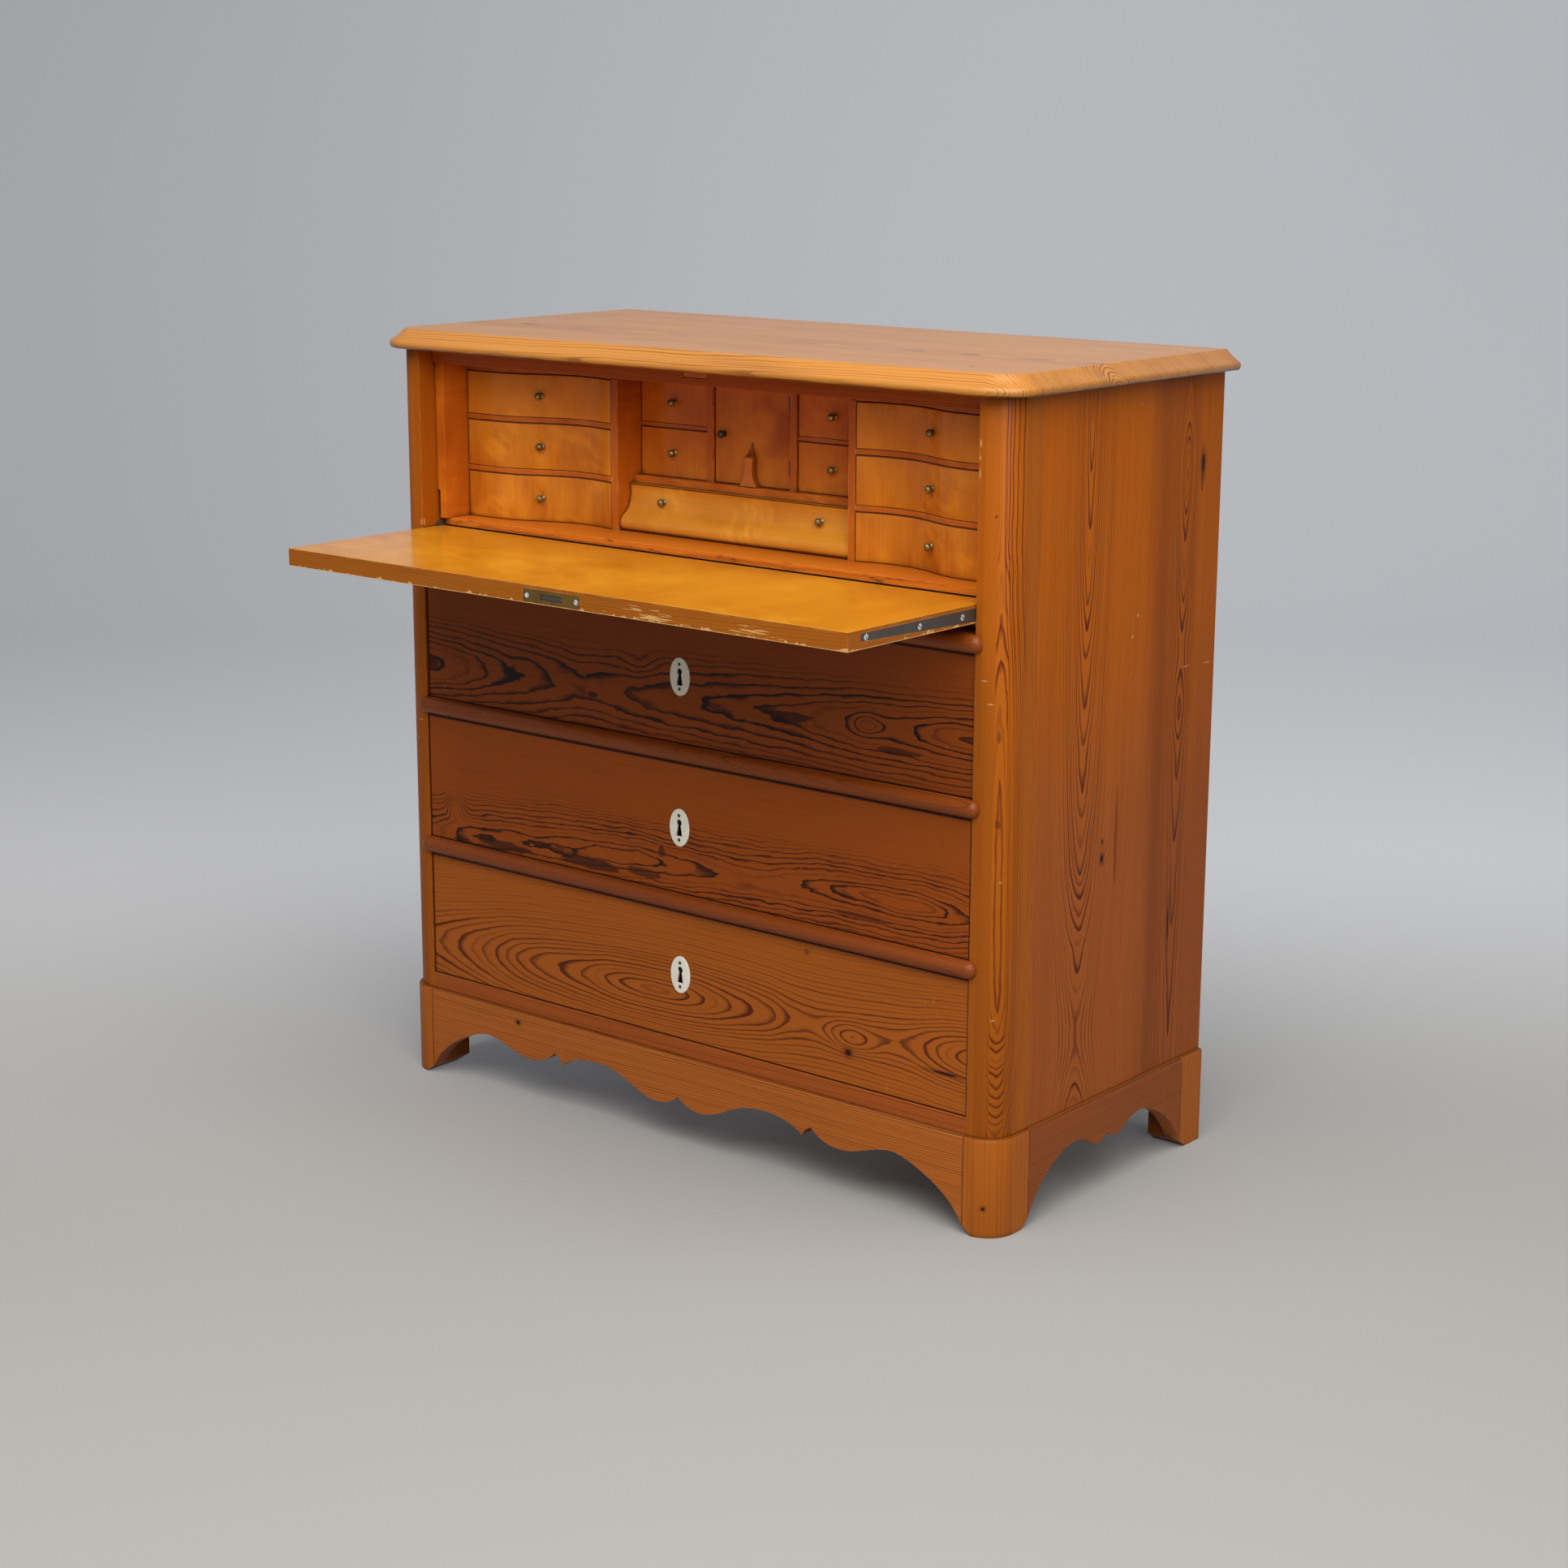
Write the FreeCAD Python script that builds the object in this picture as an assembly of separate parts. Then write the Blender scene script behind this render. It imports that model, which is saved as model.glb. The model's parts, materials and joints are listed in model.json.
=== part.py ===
import FreeCAD
import Part
import math
import os

os.makedirs("parts", exist_ok=True)

# A writing chiffonier: three long drawers under a fall flap that opens on small drawers.
# All lengths are in millimetres. While it is built, X runs to the right, Z up, and Y to the back
# with zero at the front face of the corner posts. Each finished piece is then moved along Y by
# frame_shift, so that the origin is the bottom centre of the whole piece with its flap open.

# Carcass
carcass_width = 960.0
carcass_depth = 442.0
post_width = 41.5
post_depth = 62.0
post_radius = 32.0
side_thickness = 22.0
back_thickness = 12.0
back_board_count = 5
shrinkage_gap = 0.3
running_gap = 0.3
cut_overrun = 5.0

# Top board
top_thickness = 24.0
top_overhang = 21.0
top_nose_height = 10.5
top_nose_round = 3.0
top_ogee_width = 20.0

# Plinth
plinth_height = 120.4
plinth_proud = 5.0
apron_thickness = 22.0
rear_block_depth = 47.0
rear_block_width = 46.5
plinth_lip_round = 3.5
foot_chamfer = 13.0
foot_chamfer_height = 10.5
back_rail_height = 36.0

# Scalloped lower edge of the aprons. Each stretch is smooth and runs between sharp corners. Its
# pairs are a share of the apron's half length, from the middle out, and a share of the height
# from the foot chamfer up to the top of the scallop, where the apron is narrowest.
front_apron_narrowest = 39.9
side_apron_narrowest = 42.4
front_scallop_shares = [
    [(0.0, 0.79), (0.035, 0.66), (0.087, 0.60), (0.15, 0.70), (0.23, 0.92), (0.315, 1.0),
     (0.40, 0.93), (0.455, 0.765)],
    [(0.455, 0.765), (0.466, 0.87), (0.486, 0.945)],
    [(0.486, 0.945), (0.53, 0.76), (0.60, 0.70), (0.67, 0.805), (0.765, 0.935), (0.85, 0.775),
     (0.925, 0.515), (1.0, 0.0)],
]
side_scallop_shares = [
    [(0.0, 0.88), (0.06, 0.78), (0.14, 0.75), (0.24, 0.875), (0.40, 1.0), (0.66, 0.83),
     (0.86, 0.48), (1.0, 0.0)],
]

# Long drawers and the rails between them
long_drawer_names = ["bottom", "middle", "top"]
drawer_opening_height = 167.0
rail_height = 21.0
bottom_rail_height = 20.6
drawer_front_thickness = 22.0
drawer_front_recesses = [2.0, 1.5, 3.5]
drawer_front_gap = 1.0
drawer_head_gap = 1.5
drawer_side_thickness = 12.0
drawer_bottom_thickness = 8.0
drawer_bottom_lift = 6.0
drawer_side_drop = 8.0
drawer_rear_gap = 12.0
runner_width = 45.0
guide_height = 20.0

# Bone keyhole plates
plate_width = 31.0
plate_height = 47.5
plate_thickness = 2.0
plate_proud = 0.8
plate_fit = 0.1
keyhole_radius = 3.6
keyhole_drop = 12.0
keyhole_neck = 3.6
keyhole_flare = 6.6
plate_pin_radius = 1.3
plate_pin_length = 3.2
plate_pin_spacing = 38.0
plate_pin_dome = 0.6

# Locks of the long drawers
lock_width = 60.0
lock_thickness = 11.0
lock_below_key = 26.0
bolt_width = 24.0
bolt_thickness = 5.0
bolt_throw = 8.0
bolt_play = 0.3
bolt_stand_down = 0.5
bolt_tail_below_key = 6.0
mortise_spare = 1.5

# Fall flap with its lock
flap_opening_height = 264.0
flap_thickness = 21.5
flap_side_gap = 1.0
flap_bottom_gap = 1.5
flap_top_gap = 2.0
flap_heel_round = 5.0
flap_veneer_thickness = 1.2
flap_lock_offset = 9.0
flap_plate_width = 88.5
flap_plate_height = 15.0
flap_plate_thickness = 2.0
flap_plate_margin = 1.2
flap_plate_fit = 0.2
flap_lock_width = 70.0
flap_lock_height = 10.0
flap_lock_depth = 56.0
flap_bolt_width = 33.0
flap_bolt_height = 5.6
flap_bolt_length = 34.0
flap_bolt_inset = 0.6
flap_key_distance = 40.0
flap_plate_screw_spacing = 77.0
flap_plate_screw_angles = [40.0, 65.0]

# Iron straps that carry the flap, and their pivots
pivot_rise = 22.5
strap_thickness = 3.0
strap_reach = 216.0
strap_tip_height = 8.0
strap_root_height = 15.0
strap_top_above_pivot = 6.0
strap_heel_height = 12.0
strap_ear_radius = 5.4
strap_ear_back = 18.8
strap_ear_rise = 11.6
pivot_pin_radius = 3.0
pivot_pin_fit = 0.05
pivot_plate_thickness = 2.5
pivot_plate_above = 10.6
pivot_plate_below = 23.0
pivot_plate_front = 3.0
pivot_plate_depth = 50.0
stop_stud_radius = 2.5
stop_stud_gap = 0.3
stop_stud_margin = 2.5

# Countersunk screws: three in each strap, by their distance from its tip, and two in the lock
strap_screw_places = [9.0, 103.5, 181.5]
strap_screw_angles = [25.0, 55.0, 60.0]
strap_screw_head_radius = 3.8
plate_screw_head_radius = 3.2
screw_head_depth = 2.0
screw_shank_radius = 1.7
screw_length = 18.0
screw_slot_width = 1.1
screw_slot_depth = 0.9
screw_fit = 0.08

# Top rail behind the closed flap
top_rail_height = 19.5
top_rail_thickness = 22.0
top_rail_setback = 1.0
strike_width = 38.0
strike_height = 9.5
strike_thickness = 6.0
strike_drop = 1.2
strike_fit = 0.1
bolt_pocket_depth = 9.5

# Writing interior
floor_rise = 45.0
floor_thickness = 9.5
floor_front_gap = 0.8
bearer_width = 25.0
lining_thickness = 10.0
lining_slot = 4.5
lining_slot_height = 36.0
lining_front = 28.0
ceiling_drop = 30.0
ceiling_thickness = 8.0
divider_inner = 183.6
divider_thickness = 10.4
divider_front = 95.0

# Banks of three serpentine drawers at each side
bank_names = ["lower", "middle", "upper"]
bank_front = 71.0
bank_wave = 33.5
bank_board_thickness = 6.2
bank_board_heights = [60.2, 126.6]
bank_front_thickness = 14.0
bank_width_shares = [0.0, 0.20, 0.37, 0.50, 0.62, 0.77, 0.90, 1.0]
bank_wave_shares = [0.0, 0.02, 0.20, 0.57, 0.87, 1.0, 0.90, 0.72]

# Centre section
shelf_rise = 58.7
shelf_thickness = 8.7
shelf_front = 125.0
centre_front = 139.6
centre_board_rise = 129.5
centre_board_thickness = 4.6
door_post_inner = 61.0
door_post_thickness = 10.0
door_post_front = 136.6
centre_names = ["lower", "upper"]
ogee_back = 124.5
ogee_waist = 118.6
ogee_belly = 98.0
ogee_foot = 102.5
ogee_knob_height_share = 0.66
ogee_height_shares = [1.0, 0.91, 0.80, 0.62, 0.48, 0.36, 0.22, 0.10, 0.0]
ogee_swell_shares = [0.10, 0.02, 0.0, 0.10, 0.28, 0.64, 0.97, 0.97, 0.78]

# Small drawers
small_gap = 0.5
small_head_gap = 0.7
small_front_thickness = 10.0
small_side_thickness = 6.0
small_bottom_thickness = 4.0
small_bottom_lift = 3.0
small_side_drop = 4.0
small_rear_gap = 14.0

# Turned brass knobs
knob_length = 11.0
knob_base_radius = 4.0
knob_base_thickness = 1.0
knob_stem_radius = 1.9
knob_ball_radius = 4.8
knob_tail_radius = 1.5
knob_tail_length = 8.0
knob_tail_fit = 0.05
ogee_knob_place = 126.0

# Little door in the centre
door_gap = 0.6
door_thickness = 12.0
door_knob_place = 46.0
door_knob_rise = 61.0
hinge_height = 18.0
hinge_rises = [27.0, 105.0]
hinge_pin_radius = 1.0
hinge_knuckle_radius = 1.9
hinge_pin_ahead = 1.2
hinge_leaf_thickness = 0.8
hinge_leaf_width = 9.0
hinge_knuckle_gap = 0.2
hinge_fit = 0.05

# Carved ornament on the little door: a pillar that spreads at its foot, under a hollow spire
ornament_height = 53.0
ornament_depth = 11.0
ornament_foot_half = 12.8
ornament_waist_half = 6.4
ornament_shoulder_half = 6.9
ornament_waist_share = 0.24
ornament_shoulder_share = 0.66
ornament_spire_shares = [(0.66, 1.0), (0.71, 0.66), (0.78, 0.36), (0.88, 0.15), (1.0, 0.04)]

# Places worked out from the sizes above
half_width = carcass_width / 2
opening_half = half_width - post_width
side_inner = half_width - side_thickness
back_front = carcass_depth - back_thickness
drawer_pitch = drawer_opening_height + rail_height
first_opening = plinth_height + bottom_rail_height
flap_rail_top = first_opening + len(long_drawer_names) * drawer_pitch
carcass_top = flap_rail_top + flap_opening_height
total_height = carcass_top + top_thickness
plinth_half = half_width + plinth_proud
top_half = half_width + top_overhang
front_scallop_top = plinth_height - front_apron_narrowest
side_scallop_top = plinth_height - side_apron_narrowest

flap_closed_bottom = flap_rail_top + flap_bottom_gap
flap_closed_top = carcass_top - flap_top_gap
flap_length = flap_closed_top - flap_closed_bottom
flap_half = opening_half - flap_side_gap
pivot_y = flap_thickness / 2
pivot_z = flap_closed_bottom + pivot_rise
flap_under = pivot_z - flap_thickness / 2
flap_over = pivot_z + flap_thickness / 2
flap_rear = pivot_y + pivot_rise
flap_front = flap_rear - flap_length
flap_swing = math.hypot(pivot_rise, flap_thickness / 2)

strap_top = pivot_z + strap_top_above_pivot
strap_front = pivot_y - strap_reach
ear_sweep = math.hypot(strap_ear_back, strap_ear_rise) + strap_ear_radius
stud_rise = strap_top_above_pivot + stop_stud_gap + stop_stud_radius
stud_distance = ear_sweep + stop_stud_gap + stop_stud_radius
stud_back = math.sqrt(stud_distance ** 2 - stud_rise ** 2)
strap_heel_length = stud_back + stop_stud_radius + stop_stud_margin
heel_sweep = math.hypot(strap_heel_length, strap_heel_height) + stop_stud_gap

floor_top = flap_rail_top + floor_rise
floor_under = floor_top - floor_thickness
floor_front = pivot_y + flap_swing + floor_front_gap
lining_outer = opening_half - lining_slot
lining_inner = lining_outer - lining_thickness
ceiling_under = carcass_top - ceiling_drop
top_rail_under = carcass_top - top_rail_height
top_rail_front = flap_thickness + top_rail_setback
divider_outer = divider_inner + divider_thickness
door_post_outer = door_post_inner + door_post_thickness
shelf_under = floor_top + shelf_rise
shelf_top = shelf_under + shelf_thickness
centre_board_under = floor_top + centre_board_rise
centre_board_top = centre_board_under + centre_board_thickness
drawer_back = back_front - drawer_rear_gap
small_back = back_front - small_rear_gap

frame_shift = (flap_front + carcass_depth) / 2


def vec(x, y, z):
    return FreeCAD.Vector(x, y, z)


RIGHT = vec(1, 0, 0)
BACK = vec(0, 1, 0)
UP = vec(0, 0, 1)
ORIGIN = vec(0, 0, 0)


def block(x0, x1, y0, y1, z0, z1):
    """A box between three pairs of places."""
    return Part.makeBox(x1 - x0, y1 - y0, z1 - z0, vec(x0, y0, z0))


def rod(radius, start, end):
    """A round bar between two points."""
    return Part.makeCylinder(radius, (end - start).Length, start, end - start)


def mirrored(shape):
    """The same piece for the other side of the chiffonier."""
    return shape.mirror(ORIGIN, RIGHT)


def both(shape):
    return [shape, mirrored(shape)]


def prism(points, along):
    """A straight-sided outline, pushed along a vector."""
    wire = Part.makePolygon(points + [points[0]])
    return Part.Face(wire).extrude(along)


def smooth(points):
    """One smooth edge through the points."""
    curve = Part.BSplineCurve()
    curve.interpolate(points)
    return curve.toShape()


def line(start, end):
    return Part.makeLine(start, end)


def solid_of(edges, along):
    """The solid swept by a closed loop of edges along a vector."""
    return Part.Face(Part.Wire(edges)).extrude(along)


def slotted_screw(place, inward, across, head_radius, grow):
    """A countersunk screw whose flat head lies at a place, with its slot along a direction."""
    under_head = place + inward * screw_head_depth
    head = Part.makeCone(head_radius + grow, screw_shank_radius + grow, screw_head_depth,
                         place, inward)
    shank = rod(screw_shank_radius + grow, under_head, place + inward * (screw_length + grow))
    screw = head.fuse(shank)
    if grow == 0:
        side = inward.cross(across) * (screw_slot_width / 2)
        start = place - across * cut_overrun
        low, high = inward * screw_slot_depth, inward * -cut_overrun
        slot = prism([start - side + high, start + side + high, start + side + low,
                      start - side + low], across * (2 * cut_overrun))
        screw = screw.cut(slot)
    return screw


def save(name, solids):
    """Write one sub-part, moved to the frame of the whole piece."""
    shape = Part.makeCompound(solids) if len(solids) > 1 else solids[0]
    shape = shape.copy()
    shape.translate(vec(0, -frame_shift, 0))
    shape.exportStep("parts/" + name + ".step")


# Outline of a slab whose two front corners are rounded
def rounded_slab(half, front, back, radius, z0, z1):
    slab = block(-half, half, front, back, z0, z1)
    corners = []
    for edge in slab.Edges:
        centre = edge.CenterOfMass
        upright = abs(centre.z - (z0 + z1) / 2) < (z1 - z0) / 4
        if upright and centre.y < (front + back) / 2:
            corners.append(edge)
    return slab.makeFillet(radius, corners)


# The moulded edge of the top, as a face in a plane that holds the outward direction and Z:
# a rounded nose below, and a hollow slope from it up to the flat
def top_edge_face(start, outward):
    nose_top = carcass_top + top_nose_height

    def at(out, z):
        return vec(start.x + outward.x * out, start.y + outward.y * out, z)

    slope = top_overhang - top_ogee_width
    hollow_out = slope + top_ogee_width / 2
    hollow_z = nose_top + (total_height - nose_top) / 3
    tip = top_overhang - top_nose_round
    edges = [
        line(at(0, carcass_top), at(tip, carcass_top)),
        Part.Arc(at(tip, carcass_top),
                 at(top_overhang, carcass_top + top_nose_height / 2),
                 at(tip, nose_top)).toShape(),
        Part.Arc(at(tip, nose_top), at(hollow_out, hollow_z), at(slope, total_height)).toShape(),
        line(at(slope, total_height), at(0, total_height)),
        line(at(0, total_height), at(0, carcass_top)),
    ]
    return Part.Face(Part.Wire(edges))


def make_top():
    """The top board: a flat middle, moulded on its front and ends and round its front corners."""
    radius = post_radius
    slab = rounded_slab(half_width, 0, carcass_depth, radius, carcass_top, total_height)
    front = top_edge_face(vec(-half_width + radius, 0, 0), vec(0, -1, 0))
    run = front.extrude(vec(2 * (half_width - radius), 0, 0))
    end = top_edge_face(vec(half_width, radius, 0), RIGHT)
    end_run = end.extrude(vec(0, carcass_depth - radius, 0))
    centre = vec(half_width - radius, radius, 0)
    corner = end.revolve(centre, UP, -90)
    top = slab.fuse([run, end_run, corner, mirrored(end_run), mirrored(corner)]).removeSplitter()
    pocket_half = flap_bolt_width / 2 + mortise_spare
    bolt_y = flap_plate_margin + flap_plate_height / 2
    deep = flap_bolt_height / 2 + mortise_spare
    pocket = block(flap_lock_offset - pocket_half, flap_lock_offset + pocket_half,
                   bolt_y - deep, bolt_y + deep,
                   carcass_top - cut_overrun, carcass_top + bolt_pocket_depth)
    return top.cut(pocket)


def make_posts():
    """Front corner posts with a well rounded outer corner, let out for the pivot plates."""
    post = block(opening_half, half_width, 0, post_depth, plinth_height, carcass_top)
    corner = [e for e in post.Edges
              if abs(e.CenterOfMass.x - half_width) < running_gap
              and abs(e.CenterOfMass.y) < running_gap
              and e.Length > post_depth]
    post = post.makeFillet(post_radius, corner)
    post = post.cut(pivot_plate_body())
    return both(post)


def make_sides():
    side = block(side_inner, half_width, post_depth, carcass_depth, plinth_height, carcass_top)
    return both(side)


def make_back():
    """Upright boards between the sides, with a shrinkage gap between neighbours."""
    boards = []
    pitch = 2 * side_inner / back_board_count
    for i in range(back_board_count):
        left = -side_inner + i * pitch
        right = left + pitch - (shrinkage_gap if i < back_board_count - 1 else 0)
        boards.append(block(left, right, back_front, carcass_depth, plinth_height, carcass_top))
    return boards


def apron_profile(stretches, half, top, at):
    """Closed loop of an apron's face, whose lower edge is the scallop on both halves."""
    rise = top - foot_chamfer_height
    edges = []
    for sign in (1, -1):
        for stretch in stretches:
            points = [at(sign * along * half, foot_chamfer_height + up * rise)
                      for along, up in stretch]
            edges.append(smooth(points))
    top_left = at(-half, plinth_height)
    top_right = at(half, plinth_height)
    edges.append(line(at(half, foot_chamfer_height), top_right))
    edges.append(line(top_right, top_left))
    edges.append(line(top_left, at(-half, foot_chamfer_height)))
    return Part.Face(Part.Wire(Part.__sortEdges__(edges)))


def round_top_edge(shape, is_outer):
    """Round the upper outer edge of a plinth piece."""
    edges = [e for e in shape.Edges
             if abs(e.CenterOfMass.z - plinth_height) < running_gap and is_outer(e)]
    return shape.makeFillet(plinth_lip_round, edges)


def make_aprons():
    """Scalloped front and side aprons, and a plain rail at the back."""
    front = apron_profile(front_scallop_shares, opening_half, front_scallop_top,
                          lambda along, z: vec(along, -plinth_proud, z))
    front = front.extrude(vec(0, apron_thickness, 0))
    front = round_top_edge(front, lambda e: abs(e.CenterOfMass.y + plinth_proud) < running_gap)
    side_start = post_depth
    side_end = carcass_depth - rear_block_depth
    middle = (side_start + side_end) / 2
    side = apron_profile(side_scallop_shares, (side_end - side_start) / 2, side_scallop_top,
                         lambda along, z: vec(plinth_half, middle + along, z))
    side = side.extrude(vec(-apron_thickness, 0, 0))
    side = round_top_edge(side, lambda e: abs(e.CenterOfMass.x - plinth_half) < running_gap)
    rear_x = plinth_half - rear_block_width
    rear = block(-rear_x, rear_x, carcass_depth - apron_thickness, carcass_depth,
                 plinth_height - back_rail_height, plinth_height)
    return [front] + both(side) + [rear]


def foot_wedge(at, along):
    """The wedge that chamfers a foot's lower edge, from places out from the foot's inner face."""
    spare = cut_overrun * foot_chamfer_height / foot_chamfer
    return prism([at(-cut_overrun, foot_chamfer_height + spare),
                  at(foot_chamfer + cut_overrun, -spare), at(-cut_overrun, -spare)], along)


def make_plinth_blocks():
    """Upright corner blocks that end as the four feet, with chamfered inner corners."""
    front = block(opening_half, plinth_half, -plinth_proud, post_depth, 0, plinth_height)
    corner = [e for e in front.Edges
              if abs(e.CenterOfMass.x - plinth_half) < running_gap
              and abs(e.CenterOfMass.y + plinth_proud) < running_gap]
    front = front.makeFillet(post_radius + plinth_proud, corner)
    front = round_top_edge(front, lambda e: e.CenterOfMass.x > opening_half + post_width / 2
                           or abs(e.CenterOfMass.y + plinth_proud) < running_gap)
    front = front.cut(foot_wedge(lambda out, z: vec(opening_half + out, -plinth_proud - cut_overrun, z),
                                 vec(0, plinth_proud + post_depth + 2 * cut_overrun, 0)))
    front = front.cut(foot_wedge(lambda out, z: vec(opening_half - cut_overrun, post_depth - out, z),
                                 vec(plinth_half - opening_half + 2 * cut_overrun, 0, 0)))
    rear_start = carcass_depth - rear_block_depth
    rear_x = plinth_half - rear_block_width
    rear = block(rear_x, plinth_half, rear_start, carcass_depth, 0, plinth_height)
    rear = round_top_edge(rear, lambda e: abs(e.CenterOfMass.x - plinth_half) < running_gap)
    rear = rear.cut(foot_wedge(lambda out, z: vec(rear_x - cut_overrun, rear_start + out, z),
                               vec(rear_block_width + 2 * cut_overrun, 0, 0)))
    return both(front) + both(rear)


def lock_mortise(rail_under, recess):
    """The pocket in a rail that takes the bolt of the drawer below it."""
    half = bolt_width / 2 + mortise_spare
    centre = bolt_centre(recess)
    deep = bolt_thickness / 2 + mortise_spare
    return block(-half, half, centre - deep, centre + deep,
                 rail_under - cut_overrun, rail_under + bolt_throw + mortise_spare)


def make_rails():
    """Front rails: a flush one under the drawers, and one above each drawer."""
    rails = [block(-opening_half, opening_half, 0, post_depth, plinth_height, first_opening)]
    for i in range(len(long_drawer_names)):
        under = first_opening + i * drawer_pitch + drawer_opening_height
        rail = block(-opening_half, opening_half, 0, post_depth, under, under + rail_height)
        rail = rail.cut(lock_mortise(under, drawer_front_recesses[i]))
        if i == len(long_drawer_names) - 1:
            notch = block(lining_outer, opening_half + cut_overrun, 0, pivot_y + heel_sweep,
                          pivot_z - heel_sweep, under + rail_height + cut_overrun)
            rail = rail.cut(notch).cut(mirrored(notch))
        rails.append(rail)
    return rails


def make_nosings():
    """Half-round beads on the rails, whose rounded ends lap over the posts."""
    radius = rail_height / 2
    beads = []
    for i in range(len(long_drawer_names)):
        z = first_opening + i * drawer_pitch + drawer_opening_height + radius
        bar = rod(radius, vec(-opening_half, 0, z), vec(opening_half, 0, z))
        ends = [Part.makeSphere(radius, vec(s * opening_half, 0, z)) for s in (-1, 1)]
        reach = half_width + cut_overrun
        behind = block(-reach, reach, 0, 2 * radius, z - 2 * radius, z + 2 * radius)
        beads.append(bar.fuse(ends).removeSplitter().cut(behind))
    return beads


def make_runners():
    """Runners behind every rail, guides beside every drawer, and the bottom board."""
    pieces = [block(-side_inner, side_inner, post_depth, back_front, plinth_height, first_opening)]
    for i in range(len(long_drawer_names)):
        bottom = first_opening + i * drawer_pitch
        under = bottom + drawer_opening_height
        runner = block(side_inner - runner_width, side_inner, post_depth, back_front,
                       under, under + rail_height)
        guide = block(opening_half, side_inner, post_depth, back_front, bottom, bottom + guide_height)
        pieces += both(runner) + both(guide)
    bearer = block(side_inner - bearer_width, side_inner, post_depth, back_front,
                   flap_rail_top, floor_under)
    return pieces + both(bearer)


def keyhole(x, z, y0, y1):
    """A keyhole: a round eye over a slot that widens downwards."""
    eye = rod(keyhole_radius, vec(x, y0, z), vec(x, y1, z))
    slot = prism([vec(x - keyhole_neck / 2, y0, z), vec(x + keyhole_neck / 2, y0, z),
                  vec(x + keyhole_flare / 2, y0, z - keyhole_drop),
                  vec(x - keyhole_flare / 2, y0, z - keyhole_drop)], vec(0, y1 - y0, 0))
    return eye.fuse(slot)


def oval(x, z, y0, y1, grow):
    """An upright oval disc, made round and then stretched to its height."""
    disc = Part.Ellipse(ORIGIN, plate_height / 2 + grow, plate_width / 2 + grow).toShape()
    face = Part.Face(Part.Wire([disc]))
    face.rotate(ORIGIN, UP, 90)
    face.rotate(ORIGIN, RIGHT, 90)
    face.translate(vec(x, y1, z))
    return face.extrude(vec(0, y0 - y1, 0))


def pin_places(z):
    return [z - plate_pin_spacing / 2, z + plate_pin_spacing / 2]


def plate_pins(x, z, face, grow):
    """The two pins of a keyhole plate, with low domed heads."""
    pins = []
    for pin_z in pin_places(z):
        radius = plate_pin_radius + grow
        shank = rod(radius, vec(x, face - plate_proud - grow, pin_z),
                    vec(x, face + plate_pin_length, pin_z))
        if grow == 0:
            tip = vec(x, face - plate_proud - plate_pin_dome, pin_z)
            head = Part.makeCone(radius / 2, radius, plate_pin_dome, tip, BACK)
            shank = shank.fuse(head)
        pins.append(shank)
    return pins


def keyhole_plate(x, z, face):
    """An oval bone plate let into a front, with its keyhole and pin holes."""
    plate = oval(x, z, face - plate_proud, face - plate_proud + plate_thickness, 0)
    plate = plate.cut(keyhole(x, z, face - cut_overrun, face + cut_overrun))
    for pin in plate_pins(x, z, face, plate_fit):
        plate = plate.cut(pin)
    return plate


def plate_seat(x, z, face):
    """What a keyhole plate and its pins take out of a front."""
    seat = oval(x, z, face - cut_overrun, face - plate_proud + plate_thickness, plate_fit)
    return [seat] + plate_pins(x, z, face, plate_fit)


def bolt_centre(recess):
    """How far back the bolt of a long drawer stands."""
    return recess + drawer_front_thickness - lock_thickness / 2


def make_long_drawer(index):
    """One long drawer: its front, box, keyhole plate, lock and bolt."""
    name = long_drawer_names[index]
    recess = drawer_front_recesses[index]
    bottom = first_opening + index * drawer_pitch
    z0 = bottom + running_gap
    z1 = bottom + drawer_opening_height - drawer_head_gap
    half = opening_half - drawer_front_gap
    rear_of_front = recess + drawer_front_thickness
    key_z = bottom + drawer_opening_height / 2
    lock_low = key_z - lock_below_key
    lock_front = rear_of_front - lock_thickness
    front = block(-half, half, recess, rear_of_front, z0, z1)
    front = front.cut(block(-lock_width / 2, lock_width / 2, lock_front, rear_of_front + cut_overrun,
                            lock_low, z1 + cut_overrun))
    front = front.cut(keyhole(0, key_z, recess - cut_overrun, lock_front + cut_overrun))
    for cutter in plate_seat(0, key_z, recess):
        front = front.cut(cutter)
    save("drawer_" + name + "_front", [front])

    side_top = z1 - drawer_side_drop
    side = block(half - drawer_side_thickness, half, rear_of_front, drawer_back, z0, side_top)
    inner = half - drawer_side_thickness
    panel_low = z0 + drawer_bottom_lift
    panel_top = panel_low + drawer_bottom_thickness
    back = block(-inner, inner, drawer_back - drawer_side_thickness, drawer_back, panel_top, side_top)
    panel = block(-inner, inner, rear_of_front, drawer_back, panel_low, panel_top)
    save("drawer_" + name + "_box", both(side) + [back, panel])

    save("drawer_" + name + "_keyhole_plate", [keyhole_plate(0, key_z, recess)])

    bolt_y = bolt_centre(recess)
    bolt_low = key_z + bolt_tail_below_key
    bolt_high = z1 - bolt_stand_down
    channel = block(-bolt_width / 2 - bolt_play, bolt_width / 2 + bolt_play,
                    bolt_y - bolt_thickness / 2 - bolt_play, bolt_y + bolt_thickness / 2 + bolt_play,
                    bolt_low - bolt_play, z1 + cut_overrun)
    case = block(-lock_width / 2, lock_width / 2, lock_front, rear_of_front, lock_low, z1)
    case = case.cut(channel)
    case = case.cut(keyhole(0, key_z, lock_front - cut_overrun, bolt_y))
    save("drawer_" + name + "_lock", [case] + plate_pins(0, key_z, recess, 0))
    bolt = block(-bolt_width / 2, bolt_width / 2, bolt_y - bolt_thickness / 2,
                 bolt_y + bolt_thickness / 2, bolt_low, bolt_high)
    save("drawer_" + name + "_bolt", [bolt])


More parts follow.
